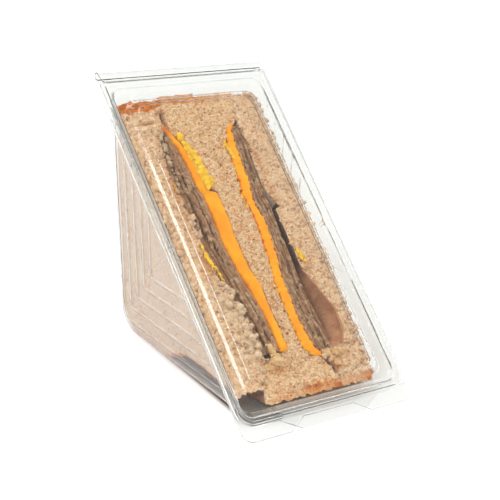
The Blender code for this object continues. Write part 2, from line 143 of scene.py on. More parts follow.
def ramp(tree, value, low, high, to_low=0.0, to_high=1.0):
    """Carry value smoothly from the range low to high onto to_low to to_high."""
    return put(tree, "ShaderNodeMapRange", (0, value), (1, low), (2, high), (3, to_low),
               (4, to_high), interpolation_type="SMOOTHSTEP")


def noise(tree, place, scale, detail, out=0, **more):
    """Cloudy noise: out 0 is a number around one half, and out 1 a vector."""
    feeds = [("Vector", place), ("Scale", scale), ("Detail", detail)]
    feeds += [(key.capitalize(), value) for key, value in more.items()]
    return put(tree, "ShaderNodeTexNoise", *feeds, out=out)


def new_tree(name, kind, inputs, outputs):
    """A node group with named sockets: (name, kind of value, value) for each input."""
    tree = bpy.data.node_groups.new(name, kind)
    sockets = [(*row, "INPUT") for row in inputs]
    sockets += [(*row, None, "OUTPUT") for row in outputs]
    for label, socket_type, value, way in sockets:
        socket = tree.interface.new_socket(label, in_out=way,
                                           socket_type="NodeSocket" + socket_type)
        if value is not None:
            socket.default_value = value
    given = tree.nodes.new("NodeGroupInput").outputs
    result = tree.nodes.new("NodeGroupOutput").inputs
    return tree, given, result


print("node tools ready")

# %% [markdown]
# ## Patterns that several foods share
#
# Bread, beef and cheese all have soft blotches, and bread and beef have small specks as well.
# Each is a shader group that is built once. The patterns read the attribute called place, which
# holds every point's pack coordinates in millimetres, so a speck's size is given in real
# millimetres and the pattern follows the slices.

# %% Shader groups
blotch, given, result = new_tree(
    "Blotch", "ShaderNodeTree",
    [("Place", "Vector", None), ("Size", "Float", 4.0), ("Low", "Float", 0.4),
     ("High", "Float", 0.6)],
    [("Mask", "Float")])
clouds = noise(blotch, given["Place"], sums(blotch, "DIVIDE", 1.0, given["Size"]), 3.0,
               roughness=0.6)
blotch.links.new(ramp(blotch, clouds, given["Low"], given["High"]), result["Mask"])

speck, given, result = new_tree(
    "Speck", "ShaderNodeTree",
    [("Place", "Vector", None), ("Size", "Float", 1.0), ("Share", "Float", 0.2),
     ("Reach", "Float", 0.35)],
    [("Mask", "Float")])
bent = noise(speck, given["Place"], sums(speck, "DIVIDE", 1.5, given["Size"]), 2.0, out=1)
bent = vectors(speck, "SUBTRACT", bent, (0.5, 0.5, 0.5))
bent = vectors(speck, "SCALE", bent, given["Size"])
bent = vectors(speck, "ADD", bent, given["Place"])
cells = put(speck, "ShaderNodeTexVoronoi", ("Vector", bent),
            ("Scale", sums(speck, "DIVIDE", 1.0, given["Size"])))
core = sums(speck, "MULTIPLY", given["Reach"], 0.6)
near = sums(speck, "SUBTRACT", 1.0, ramp(speck, cells, core, given["Reach"]))
pick = put(speck, "ShaderNodeSeparateColor", (0, cells.node.outputs["Color"]))
chosen = sums(speck, "LESS_THAN", pick, given["Share"])
speck.links.new(sums(speck, "MULTIPLY", near, chosen), result["Mask"])
print("shader groups:", blotch.name, "and", speck.name)


# %% Material tools
def mixed(tree, share, first, second, blend="MIX"):
    """Mix two colours."""
    return put(tree, "ShaderNodeMix", (0, share), (6, first), (7, second), out=2,
               data_type="RGBA", blend_type=blend)


def paint(red, green, blue):
    """A colour as it shows on a screen, 0 to 255, turned into the linear value nodes use."""
    linear = [((c / 255 + 0.055) / 1.055) ** 2.4 if c > 10 else c / 255 / 12.92
              for c in (red, green, blue)]
    return (*linear, 1.0)


def new_material(name, **settings):
    """A material, its tree and its Principled shader, with plain values set on the shader."""
    material = bpy.data.materials.new(name)
    material.use_nodes = True
    shader = material.node_tree.nodes["Principled BSDF"]
    for key, value in settings.items():
        shader.inputs[key.replace("_", " ")].default_value = value
    return material, material.node_tree, shader


def marked(tree, name, out=1):
    """Read a mesh attribute: out 1 is a vector and 2 a plain number."""
    return put(tree, "ShaderNodeAttribute", out=out, attribute_name=name)


def pattern(tree, group, *numbers):
    """Place a shared pattern at the piece's own place attribute, its numbers in order."""
    return put(tree, "ShaderNodeGroup", *enumerate((marked(tree, "place"), *numbers)),
               node_tree=group)


def coats(tree, colour, *layers):
    """Lay shades over a colour. A layer is a mask, or a pattern with its numbers, and a shade."""
    for mask, *numbers, shade in layers:
        if numbers:
            mask = pattern(tree, mask, *numbers)
        colour = mixed(tree, mask, colour, paint(*shade))
    return colour


def bump(tree, shader, height, distance, strength=1.0):
    """Fine relief that is too small for the mesh."""
    normal = put(tree, "ShaderNodeBump", ("Strength", strength), ("Distance", distance),
                 ("Height", height))
    tree.links.new(normal, shader.inputs["Normal"])


print("material tools ready")

# %% [markdown]
# ## Where the layers lie
#
# On the cut face each layer meets the next along an uneven line. Those lines were read off the
# photograph as a few points each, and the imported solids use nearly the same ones. Behind the cut
# the layers run straight back and close up a little with the tray's tapering walls.

# %% Sizes of the sandwich
OPEN_HALF = 43.75        # half width of the tray's opening, in mm like all sizes here
OPEN_LOW = -3.2          # v of the opening's lower edge
OPEN_HIGH = 170.5        # v of its upper edge
WALL_DRAFT = 0.093       # how much the side walls close in for each mm behind the opening
CUT_DEPTH = 4.2          # d of the cut face
CUT_SKIN = 1.2           # how far the cut's own look and relief reach behind it
FOOD_GAP = 0.5           # between the crust and the tray
LOAF_CORNER = 15.0       # radius of the loaf's corner in the heel
CRUST_ROUND = 4.2        # radius of the slices' outer edges at the back
SEAM = 0.06              # room between neighbouring layers
LEVEL_DEPTH = CUT_DEPTH + CUT_SKIN     # the boundaries keep their places from the cut to here
ROOT2 = math.sqrt(2)
MID_V = (OPEN_LOW + OPEN_HIGH) / 2
APEX = (OPEN_HIGH - OPEN_LOW) / 2
FOOD_APEX = APEX - FOOD_GAP * ROOT2
CUT_HALF = FOOD_APEX - CUT_DEPTH
CUT_LOW = MID_V - CUT_HALF
CUT_HIGH = MID_V + CUT_HALF
CRUST_LEG = CUT_HALF * ROOT2
print("cut face from v", round(CUT_LOW, 1), "to", round(CUT_HIGH, 1), "mm")

# %% Boundaries of the layers
LAYERS = {
    # Each boundary lists (v, x) upwards. It is named for the layer on its right, or with _end
    # for the layer on its left.
    "outer_left": ((0, -40.3), (165, -40.3)),
    "bread_a_end": ((0, -27.7), (11, -25.1), (16, -22.4), (20, -19.4), (22, -19.0),
                    (25, -21.8), (28, -19.2), (33, -18.8), (42, -20.4), (54, -21.6),
                    (57, -22.6), (62, -24.4), (73, -25.2), (81, -26.0), (89, -25.8),
                    (107, -26.5), (125, -27.6), (141, -25.3), (149, -18.9), (165, -17.1)),
    "beef_a": ((0, -27.7), (11, -25.1), (20, -18.6), (26, -18.9), (37, -19.8),
               (55, -22.0), (73, -24.6), (89, -25.6), (107, -26.4), (125, -27.4),
               (141, -25.1), (150, -19.1), (165, -17.1)),
    "cheese_a": ((0, -27.7), (11, -25.1), (20, -11.8), (23, -9.4), (28, -9.0),
                 (37, -9.0), (41, -9.2), (57, -11.3), (68, -13.4), (84, -15.0),
                 (98, -14.2), (109, -14.6), (113, -16.2),
                 (125, -16.4), (135, -17.4), (143, -19.6), (149, -21.8), (165, -17.0)),
    "cheese_a_end": ((0, -27.6), (11, -25.0), (20, -11.6), (24, -4.7), (40, -4.8),
                     (56, -4.7), (67, -6.6), (83, -7.0), (97, -6.4), (108.5, -5.9),
                     (110, -7.0), (111.4, -11.6), (117, -11.6), (125, -12.1),
                     (137, -14.7), (146, -17.6), (149, -18.6), (165, -16.8)),
    "bread_b": ((0, -27.7), (11, -25.1), (16, -22.4), (20, -18.4), (22.5, -10.8),
                (25, -4.5), (40, -4.5), (56, -4.4), (67, -6.3), (83, -6.7),
                (97, -6.1), (110, -6.4), (114, -9.8), (125, -11.0), (137, -13.6),
                (149, -18.9), (165, -17.1)),
    "bread_c": ((0, -6.5), (55, -0.4), (89, 0.0), (125, 2.2), (165, 3.1)),
    "bread_c_end": ((0, 14.8), (8, 16.8), (10, 16.9), (14, 13.4), (17.5, 9.6), (19, 6.2),
                    (23, 3.2), (37, 2.8), (55, 3.1), (73, 5.8), (89, 7.4), (98, 7.6),
                    (107, 6.4), (116, 8.4), (134, 10.3), (143, 13.0), (148, 20.8),
                    (150, 22.1), (165, 25.7)),
    "cheese_b": ((0, 14.6), (10, 15.3), (17, 9.8), (19, 6.6), (23, 3.3), (37, 3.0),
                 (55, 3.3), (73, 5.9), (89, 7.5), (98, 7.8), (107, 6.6), (116, 8.6),
                 (134, 10.6), (143, 13.2), (150, 20.6), (165, 25.2)),
    "beef_b": ((0, 14.8), (10, 15.5), (17, 12.6), (19, 11.2), (23, 9.4), (37, 7.8),
               (55, 8.2), (73, 11.1), (89, 12.9), (102, 11.8), (116, 13.8),
               (134, 15.3), (143, 16.6), (150, 20.8), (165, 25.4)),
    "beef_c": ((0, 15.0), (10, 15.8), (20, 18.0), (23, 18.9), (37, 18.2), (55, 17.6),
               (73, 18.5), (89, 19.2), (107, 19.6), (125, 20.7), (134, 22.2),
               (143, 21.4), (150, 21.8), (165, 25.6)),
    "bread_d": ((0, 15.0), (8, 17.4), (10, 17.7), (14, 14.8), (18.5, 12.0), (19.8, 14.5),
                (21.5, 26.4), (28, 29.6), (38, 30.4), (50, 26.8), (57, 24.0),
                (62, 21.6), (66, 21.4), (73, 21.6), (89, 21.6), (95.8, 21.6), (97.2, 24.4),
                (101, 23.2), (106, 21.2), (110, 20.4), (125, 21.2), (134, 22.7),
                (143, 21.9), (150, 22.1), (165, 25.7)),
    "outer_right": ((0, 35.0), (20, 36.6), (40, 37.6), (60, 38.6), (100, 39.3),
                    (165, 39.3)),
}
TUCKS = {
    # name: (how far it draws to the left behind the cut, v where that starts and where it ends)
    "bread_b": (2.6, (17, 26), (140, 147)),
    "cheese_a_end": (2.6, (17, 26), (140, 147)),
    "bread_d": (7.6, (15, 30), (58, 72)),
}
TUCK_DEPTH = (CUT_DEPTH + 1, 22)
print("boundaries:", len(LAYERS), "of which", len(TUCKS), "draw in behind the cut")


# %% Layer tools
def smooth(low, high, value):
    """A soft step: 0 up to low and 1 from high on."""
    t = np.clip((value - low) / (high - low), 0, 1)
    return t * t * (3 - 2 * t)


def mix(first, second, share):
    """From first to second by a share."""
    return first + (second - first) * share


def edge(name, t):
    """x of a boundary on the cut, at t from 0 at its lower end to 1."""
    knots = np.array(LAYERS[name], float)
    v = np.clip(mix(CUT_LOW, CUT_HIGH, t), knots[0, 0], knots[-1, 0])
    k = np.clip(np.searchsorted(knots[:, 0], v) - 1, 0, len(knots) - 2)
    u = (v - knots[k, 0]) / (knots[k + 1, 0] - knots[k, 0])
    return mix(knots[k, 1], knots[k + 1, 1], (u + smooth(0, 1, u)) / 2)


def share_at(v):
    """t of a place on the cut."""
    return (v - CUT_LOW) / (CUT_HIGH - CUT_LOW)


def wall_x(d):
    """Half the width between the tray's walls at depth d."""
    return OPEN_HALF - WALL_DRAFT * d


def reach(d):
    """Half the slice's length along v at depth d."""
    centre = FOOD_APEX - LOAF_CORNER * ROOT2
    heel = np.sqrt(np.clip(LOAF_CORNER ** 2 - (d - centre) ** 2, 4.0, None))
    return np.where(d < FOOD_APEX - LOAF_CORNER / ROOT2, FOOD_APEX - d, heel)


def row_half(d):
    """Half the length of a layer at depth d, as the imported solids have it."""
    return reach(np.maximum(d, LEVEL_DEPTH))


def layer_x(name, t, d):
    """x of a boundary at any depth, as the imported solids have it."""
    deep = np.maximum(d, LEVEL_DEPTH)
    x = edge(name, t) * wall_x(deep) / wall_x(CUT_DEPTH)
    if name in TUCKS:
        tuck, start, end = TUCKS[name]
        v = mix(CUT_LOW, CUT_HIGH, t)
        x = x - tuck * smooth(*TUCK_DEPTH, deep) * smooth(*start, v) * (1 - smooth(*end, v))
    return x


MORE_WAVES = 1.7         # each octave of a wobble has this many times the waves of the last
LESS_HIGH = 1.4          # and is this many times lower


def wobble(t, seed, waves, size, octaves=6):
    """An uneven line along t: a sum of sine waves, with their phases drawn from the seed."""
    rng = np.random.default_rng(seed)
    total = 0.0
    for k in range(octaves):
        turns = waves * MORE_WAVES ** k * t + rng.random()
        total = total + np.sin(2 * math.pi * turns) / LESS_HIGH ** k
    return total * size / 2


print("the walls close in from", round(wall_x(0), 1), "to", round(wall_x(APEX), 1), "mm")

# %% [markdown]
# ## Blocks of cells
#
# Every slice is a block: it has a left and a right side, two ends, a front and a back. The block
# starts as a regular grid of cells, and a function then says where each grid point goes. This
# keeps the mesh even and lets neighbours share one boundary. The mesh is closed, and its faces
# are turned outwards by the sign of its volume.


# %% Block tools
def block(*counts):
    """The grid points on a block's six sides, as shares from 0 to 1, and its faces."""
    size = np.array(counts) + 1
    skin = np.zeros(size, bool)
    for axis in range(3):
        for end in (0, -1):
            skin[(slice(None),) * axis + (end,)] = True
    number = np.full(size, -1)
    number[skin] = np.arange(skin.sum())
    faces = []
    for axis in range(3):
        for end in (0, -1):
            side = number[(slice(None),) * axis + (end,)]
            quads = np.stack([side[:-1, :-1], side[1:, :-1], side[1:, 1:], side[:-1, 1:]],
                             -1).reshape(-1, 4)
            outward = (axis == 1) == (end == 0)
            faces.append(quads if outward else quads[:, ::-1])
    return (np.argwhere(skin) / np.array(counts)).T, np.concatenate(faces)


print("faces on a block of 2 by 2 by 2 cells:", len(block(2, 2, 2)[1]))


# %% Pieces
def new_piece(name, pack_points, faces, **marks):
    """A mesh object from pack coordinates, with its attributes, faces turned outwards."""
    world = place(*pack_points.T)
    corner = world[faces[:, 0]]
    across = np.cross(world[faces[:, 1]] - corner, world[faces[:, 2]] - corner)
    across += np.cross(world[faces[:, 2]] - corner, world[faces[:, 3]] - corner)
    if (corner * across).sum() < 0:
        faces = faces[:, ::-1]
    mesh = bpy.data.meshes.new(name)
    mesh.from_pydata(world.tolist(), [], faces.tolist())
    spot = mesh.attributes.new("place", "FLOAT_VECTOR", "POINT")
    spot.data.foreach_set("vector", pack_points.astype(np.float32).ravel())
    for mark, values in marks.items():
        layer = mesh.attributes.new(mark, "FLOAT", "POINT")
        values = np.broadcast_to(values, len(world)).astype(np.float32)
        layer.data.foreach_set("value", values)
    piece = bpy.data.objects.new(name, mesh)
    bpy.context.scene.collection.objects.link(piece)
    return piece


def grow(piece, tree, name=None, **inputs):
    """Run a Geometry Nodes tree on a piece. Keep the result, or give it to a new piece."""
    modifier = piece.modifiers.new(tree.name, "NODES")
    modifier.node_group = tree
    names = {item.name: item.identifier for item in tree.interface.items_tree
             if item.item_type == "SOCKET" and item.in_out == "INPUT"}
    for key, value in inputs.items():
        modifier[names[key.replace("_", " ")]] = value
    bpy.context.view_layer.update()
    shape = piece.evaluated_get(bpy.context.evaluated_depsgraph_get())
    made = bpy.data.meshes.new_from_object(shape)
    piece.modifiers.remove(modifier)
    if name is None:
        piece.data = made
        return piece
    grown = bpy.data.objects.new(name, made)
    bpy.context.scene.collection.objects.link(grown)
    return grown


print("piece tools ready")

# %% [markdown]
# ## Torn crumb
#
# Bread is a foam: a knife opens its bubbles and tears the thin walls between them. Paint alone
# would look flat at the edges, so the pores are real relief. A Geometry Nodes tree fits, because
# the same rule works on all the slices: cells of two sizes sink into the surface, and a slower
# noise lifts and drops whole patches. The attribute called open says how torn each point is:
# fully on the cut, less on the sides and hardly at all on the crust. The attribute called facing
# marks the cut, where the relief goes straight out, so that two slices that touch stay level.

# %% Tools for Geometry Nodes
MILLIMETRE = 0.001


def read_mark(tree, name):
    """Read a number that each point of the mesh carries."""
    return put(tree, "GeometryNodeInputNamedAttribute", ("Name", name))


def read_place(tree):
    """Read each point's pack coordinates."""
    return put(tree, "GeometryNodeInputNamedAttribute", ("Name", "place"),
               data_type="FLOAT_VECTOR")


def straight_out(tree, height):
    """A move along the surface's normal."""
    return vectors(tree, "SCALE", put(tree, "GeometryNodeInputNormal"), height)


def new_shaper(name, *sizes):
    """A Geometry Nodes tree with named sizes, which gives its piece a finish as well."""
    return new_tree(name, "GeometryNodeTree",
                    [("Geometry", "Geometry", None), *sizes, ("Finish", "Material", None)],
                    [("Geometry", "Geometry")])


def end_shaper(tree, shape, given, result):
    """All the trees end alike: real geometry, shaded smooth, with the finish on it."""
    shape = put(tree, "GeometryNodeRealizeInstances", (0, shape))
    shape = put(tree, "GeometryNodeSetShadeSmooth", (0, shape))
    shape = put(tree, "GeometryNodeSetMaterial", (0, shape), ("Material", given["Finish"]))
    tree.links.new(shape, result["Geometry"])
    print("tree:", tree.name, "with", len(tree.nodes), "nodes")


# %% Geometry Nodes: torn crumb
JOIN_WITHIN = 1e-6       # metres, within which points are merged
WARP_SCALE = 0.6         # waves of the warp in one millimetre
WARP = 1.8               # mm that the warp shifts the pores, so that they are less regular
SMALL_PORES = 0.5        # the size of the small pores, as a share of the large ones'
SMALL_DEPTH = 0.7        # their depth, likewise
FRONT = (0.0, -math.sin(slope), math.cos(slope))
crumb_tree, given, result = new_shaper(
    "Torn crumb", ("Pore Size", "Float", 1.5), ("Pore Depth", "Float", 0.8),
    ("Lump Size", "Float", 3.4), ("Lump Depth", "Float", 0.6), ("Front", "Vector", FRONT))
spot = read_place(crumb_tree)
warp = noise(crumb_tree, spot, WARP_SCALE, 2.0, out=1)
warp = vectors(crumb_tree, "SCALE", warp, WARP)
warped = vectors(crumb_tree, "ADD", spot, warp)


def pores(share):
    """How deep a point lies in its pore, 0 to 1, for pores of a share of the full size."""
    scale = sums(crumb_tree, "DIVIDE", 1.0,
                 sums(crumb_tree, "MULTIPLY", given["Pore Size"], share))
    wall = put(crumb_tree, "ShaderNodeTexVoronoi", ("Vector", warped), ("Scale", scale),
               feature="DISTANCE_TO_EDGE")
    chance = put(crumb_tree, "ShaderNodeTexVoronoi", ("Vector", warped), ("Scale", scale),
                 out=1)
    chance = put(crumb_tree, "FunctionNodeSeparateColor", (0, chance))
    return sums(crumb_tree, "MULTIPLY", ramp(crumb_tree, wall, 0.02, 0.3),
                ramp(crumb_tree, chance, 0.2, 1.0))


pit = sums(crumb_tree, "MAXIMUM", pores(1.0),
           sums(crumb_tree, "MULTIPLY", pores(SMALL_PORES), SMALL_DEPTH))
lump = noise(crumb_tree, spot, sums(crumb_tree, "DIVIDE", 1.0, given["Lump Size"]), 5.0,
             roughness=0.7)
lump = sums(crumb_tree, "MULTIPLY", sums(crumb_tree, "SUBTRACT", lump, 0.5),
            sums(crumb_tree, "MULTIPLY", sums(crumb_tree, "MULTIPLY", given["Lump Depth"], 2.0),
                 read_mark(crumb_tree, "rough")))
height = sums(crumb_tree, "SUBTRACT", lump,
              sums(crumb_tree, "MULTIPLY", pit, given["Pore Depth"]))
height = sums(crumb_tree, "MULTIPLY", height,
              sums(crumb_tree, "MULTIPLY", read_mark(crumb_tree, "open"), MILLIMETRE))
outward = put(crumb_tree, "ShaderNodeMix", (0, read_mark(crumb_tree, "facing")),
              (4, put(crumb_tree, "GeometryNodeInputNormal")), (5, given["Front"]), out=1,
              data_type="VECTOR")
outward = put(crumb_tree, "ShaderNodeVectorMath", (0, outward), operation="NORMALIZE")
shape = put(crumb_tree, "GeometryNodeMergeByDistance", (0, given["Geometry"]),
            ("Distance", JOIN_WITHIN))
# The pit is kept for the bread material, which paints shade into the pores with it.
shape = put(crumb_tree, "GeometryNodeStoreNamedAttribute", (0, shape), ("Name", "pit"),
            ("Value", pit))
shape = put(crumb_tree, "GeometryNodeSetPosition", (0, shape),
            ("Offset", vectors(crumb_tree, "SCALE", outward, height)))
end_shaper(crumb_tree, shape, given, result)

# %% [markdown]
# ## Loose crumbs
#
# A torn edge sheds crumbs, and they stick along it. They repeat by the hundred, so another tree
# scatters them: points fall on the slice where the attribute called loose says so, each point
# gets one small lump, and every lump is turned and sized at random with a fixed seed.

# %% Geometry Nodes: loose crumbs
MOSTLY_SMALL = 2.5       # the power that makes large crumbs rare
DENT_SCALE = 900.0       # waves of dents in one metre
DENT = 2.6 * MILLIMETRE  # how far the dents shift a ball of 1 mm radius
loose_tree, given, result = new_shaper(
    "Loose crumbs", ("Per Square Metre", "Float", 3e5), ("Smallest", "Float", 0.35),
    ("Largest", "Float", 0.9), ("Seed", "Int", 3))
density = sums(loose_tree, "MULTIPLY", given["Per Square Metre"],
               read_mark(loose_tree, "loose"))
dots = put(loose_tree, "GeometryNodeDistributePointsOnFaces", (0, given["Geometry"]),
           ("Density", density), ("Seed", given["Seed"]))
ball = put(loose_tree, "GeometryNodeMeshUVSphere", ("Radius", MILLIMETRE), ("Segments", 8),
           ("Rings", 5))
position = put(loose_tree, "GeometryNodeInputPosition")
dent = noise(loose_tree, position, DENT_SCALE, 2.0, out=1)
dent = vectors(loose_tree, "SUBTRACT", dent, (0.5, 0.5, 0.5))
ball = put(loose_tree, "GeometryNodeSetPosition", (0, ball),
           ("Offset", vectors(loose_tree, "SCALE", dent, DENT)))
turned = put(loose_tree, "FunctionNodeRandomValue", (1, (math.tau,) * 3),
             ("Seed", given["Seed"]), data_type="FLOAT_VECTOR")
sized = put(loose_tree, "FunctionNodeRandomValue", (2, 0.0), (3, 1.0),
            ("Seed", given["Seed"]), out=1)
sized = sums(loose_tree, "MULTIPLY_ADD", sums(loose_tree, "POWER", sized, MOSTLY_SMALL),
             sums(loose_tree, "SUBTRACT", given["Largest"], given["Smallest"]),
             given["Smallest"])
lumps = put(loose_tree, "GeometryNodeInstanceOnPoints", (0, dots), ("Instance", ball),
            ("Rotation", turned), ("Scale", sized))
shape = put(loose_tree, "GeometryNodeRealizeInstances", (0, lumps))
millimetres = vectors(loose_tree, "SCALE", position, 1 / MILLIMETRE)
shape = put(loose_tree, "GeometryNodeStoreNamedAttribute", (0, shape), ("Name", "place"),
            (3, millimetres), data_type="FLOAT_VECTOR")
shape = put(loose_tree, "GeometryNodeStoreNamedAttribute", (0, shape), ("Name", "open"),
            ("Value", 1.0))
end_shaper(loose_tree, shape, given, result)

# %% [markdown]
# ## The finish of bread
#
# Wholemeal crumb is a pale tan foam with flecks of bran, and painted shade darkens its pores. The
# crust is orange brown and patchy, a couple of millimetres thick, and it grades into the crumb.
# The attribute called inset holds each point's distance from the loaf's outside, so one material
# serves the whole slice and the crust shows at its true thickness on the cut. The flat side,
# which is seen through the tray's wall, is greyed with painted shade and has brown freckles
# of bran.

# %% Bread material
CRUST_FADE = (1.3, 2.7)  # mm from the outside, where crust turns into crumb
CRUST_WANDER = 4.5       # mm, how much that line wanders
bread_finish, tree, shader = new_material("bread", Roughness=0.9, Specular_IOR_Level=0.15)
wall = marked(tree, "wall", 2)
ragged = ramp(tree, marked(tree, "rough", 2), 1.5, 4.0, 0.0, 0.35)
freckles = sums(tree, "MULTIPLY", wall, pattern(tree, speck, 2.2, 0.3, 0.45))
# painted shade: the deeper a point lies in its pore, the darker its crumb
pit_shade = ramp(tree, marked(tree, "pit", 2), 0.2, 0.9, 0.0, 0.45)
crumb = coats(
    tree, paint(232, 194, 146),
    # (pattern, size, low or share, high or reach, shade)
    (blotch, 2.2, 0.34, 0.66, (210, 158, 104)),
    (blotch, 5.0, 0.52, 0.7, (226, 164, 106)),
    (blotch, 0.8, 0.5, 0.62, (242, 216, 184)),
    (speck, 1.2, 0.24, 0.55, (200, 140, 86)),
    (speck, 1.9, 0.14, 0.36, (146, 84, 38)),
    (marked(tree, "paler", 2), (238, 216, 194)),
    (ragged, (240, 218, 184)),
    # painted shade: the flat side behind the tray's wall is greyed
    (wall, (178, 164, 155)),
    (freckles, (150, 92, 58)),
    (pit_shade, (188, 132, 86)))
outside = ramp(tree, marked(tree, "open", 2), 0.08, 0.17, 0.6, 0.0)
crust = coats(
    tree, paint(220, 130, 32),
    (blotch, 4.0, 0.35, 0.65, (184, 94, 14)),
    (blotch, 1.6, 0.58, 0.72, (228, 168, 86)),
    (speck, 1.6, 0.25, 0.5, (140, 66, 14)),
    (outside, (176, 112, 56)))
uneven = sums(tree, "SUBTRACT", noise(tree, marked(tree, "place"), 0.35, 4.0), 0.5)
inset = sums(tree, "ADD", marked(tree, "inset", 2),
             sums(tree, "MULTIPLY", uneven, CRUST_WANDER))
patchy = ramp(tree, pattern(tree, blotch, 7.0, 0.4, 0.6), 0.0, 1.0, 0.9, 1.4)
baked = sums(tree, "MULTIPLY", ramp(tree, inset, *CRUST_FADE, 1.0, 0.0),
             marked(tree, "baked", 2))
baked = sums(tree, "MULTIPLY", baked, patchy)
surface = mixed(tree, baked, crumb, crust)
# juice and mustard stains, and painted shade in the deepest tears and holes
surface = mixed(tree, marked(tree, "stain_and_shade", 2), surface, paint(212, 160, 80), "MULTIPLY")
# painted shade: the lower corner of the left half, where little light reaches, is darkened
surface = mixed(tree, marked(tree, "low_corner_shade", 2), surface, paint(150, 128, 112), "MULTIPLY")
tree.links.new(surface, shader.inputs["Base Color"])
grain = noise(tree, marked(tree, "place"), 2.4, 4.0, roughness=0.7)
bump(tree, shader, grain, 0.0005, 0.6)
print("material:", bread_finish.name)

# %% [markdown]
# ## The slices of bread
#
# Each slice is a triangle with a rounded heel. Two sides of it are crust and the third is the
# cut. Grid rows run from the cut to the crust, finer near the cut where they are seen. The left
# slice has lifted off the tray at the bottom, and its inner edge is torn and hangs over the beef.
# Small dents stand for the tears and holes that the photograph shows, and faint amber patches
# for bread that has soaked up meat juice and mustard. Some of those patches also paint shade
# into the deepest tears and holes.

# %% Tables for the slices
SLICES = {
    # name: (left side, right side, lift of the bottom crust, drop of the back)
    "bread_1": ("outer_left", "bread_a_end", 8.2, 1.2),
    "bread_2": ("bread_b", "bread_c", 0.0, 0.0),
    "bread_3": ("bread_c", "bread_c_end", 0.0, 0.8),
    "bread_4": ("bread_d", "outer_right", 0.0, 1.8),
}
BREAD_CELLS = (44, 480, 28)
TEARS = [
    # (v, x, half length along v, half width across x, depth)
    (151.3, -27.5, 0.7, 5.5, 1.9),
    (149.8, -33.0, 0.9, 2.4, 1.4),
    (155.0, -33.3, 1.6, 1.6, 1.6),
    (101.5, -28.3, 4.0, 1.6, 1.8),
    (152.5, -18.3, 4.5, 1.1, 4.0),
    (153.0, 10.5, 0.8, 4.0, 1.0),
    (15.8, 13.9, 2.2, 1.1, 3.6),
    (11.4, 16.2, 2.4, 1.2, 4.2),
    (60.0, -30.0, 1.2, 2.2, 1.2),
    (36.0, -28.0, 1.4, 2.6, 1.5),
    (126.0, 30.0, 1.2, 2.0, 0.9),
    (78.0, -1.0, 1.0, 2.4, 0.9),
]
STAINS_AND_SHADE = [
    # (v, x, half length, half width, strength)
    (17.0, -13.5, 2.6, 4.0, 0.8),
    (21.0, -19.0, 2.5, 2.5, 0.6),
    (12.5, 18.5, 2.4, 2.6, 0.9),
    (17.0, 22.0, 2.2, 5.0, 0.45),
    (63.0, 26.0, 3.0, 3.0, 0.45),
    (115.0, -27.5, 9.0, 2.4, 0.6),
    (74.0, -27.0, 8.0, 2.4, 0.65),
    (126.0, 24.0, 12.0, 2.2, 0.5),
    (104.0, 24.0, 10.0, 2.0, 0.4),
    # the next four lie on tears and holes and paint shade into them
    (15.8, 13.9, 2.0, 0.9, 1.0),
    (11.4, 16.2, 2.0, 1.0, 1.6),
    (152.0, -18.6, 4.0, 1.0, 1.6),
    (151.3, -27.5, 0.7, 5.0, 0.5),
    (145.0, -20.0, 6.0, 3.0, 0.6),
    (132.0, -8.5, 8.0, 1.5, 0.4),
]
print("slices:", len(SLICES), "with", len(TEARS), "tears and", len(STAINS_AND_SHADE), "soaked patches")


# %% The outline of a slice
LIFT_RISE = (44, 70)     # mm from the heel, where the bottom crust leaves the tray
LIFT_SINK = (76, 106)    # and where it sinks back a little
SUNK = 0.34              # by this share of the lift
DROP_RISE = (15, 35)     # mm above the heel, where the back of the slice comes forward
CROWN = 0.6              # how far the grid's columns crowd to the two sides


def crust_path(t):
    """The crust from the lower end of the cut round the heel to the upper end."""
    straight = CRUST_LEG - LOAF_CORNER
    along = t * (2 * straight + LOAF_CORNER * math.pi / 2)
    angle = np.clip((along - straight) / LOAF_CORNER, 0, math.pi / 2)
    beyond = along - straight - LOAF_CORNER * math.pi / 2
    forward = np.where(along < straight, CRUST_LEG - along, LOAF_CORNER * (1 - np.sin(angle)))
    up = np.where(beyond > 0, LOAF_CORNER + beyond, LOAF_CORNER * (1 - np.cos(angle)))
    return forward, up


def lifted(ahead, lift):
    """How far the bottom crust stands off the tray, by its distance from the back crust."""
    return lift * (smooth(*LIFT_RISE, ahead) - SUNK * smooth(*LIFT_SINK, ahead))


def slice_outline(lift, drop):
    """The grid of one slice: its shares and faces, and each point's place along the cut,
    behind it, from the back crust, from the bottom crust and in from the outside."""
    (s, t, k), faces = block(*BREAD_CELLS)
    s = mix(s, 0.5 - 0.5 * np.cos(math.pi * s), CROWN)
    forward, up = crust_path(t)
    up = up + lifted(forward, lift)
    forward = forward + drop * smooth(*DROP_RISE, up)
    over = np.maximum(forward + up - CRUST_LEG, 0)
    forward, up = forward - over * (forward > up), up - over * (forward <= up)
    crust_w, crust_d = (up - forward) / ROOT2, FOOD_APEX - (forward + up) / ROOT2
    cut_w = mix(crust_w[t == 0][0], crust_w[t == 1][0], t)
    depth = 0.2 * k + 0.8 * k * k
    w, d = mix(cut_w, crust_w, depth), mix(CUT_DEPTH, crust_d, depth)

    ahead, above = (FOOD_APEX - d - w) / ROOT2, (FOOD_APEX - d + w) / ROOT2
    ahead, above = ahead - drop * smooth(*DROP_RISE, above), above - lifted(ahead, lift)
    heel = (ahead < LOAF_CORNER) & (above < LOAF_CORNER)
    corner = LOAF_CORNER - np.hypot(LOAF_CORNER - ahead, LOAF_CORNER - above)
    inset = np.clip(np.where(heel, corner, np.minimum(ahead, above)), 0, None)
    return (s, t, k), faces, w, d, ahead, above, inset


print("crust along each leg of a slice, mm:", round(CRUST_LEG, 1))

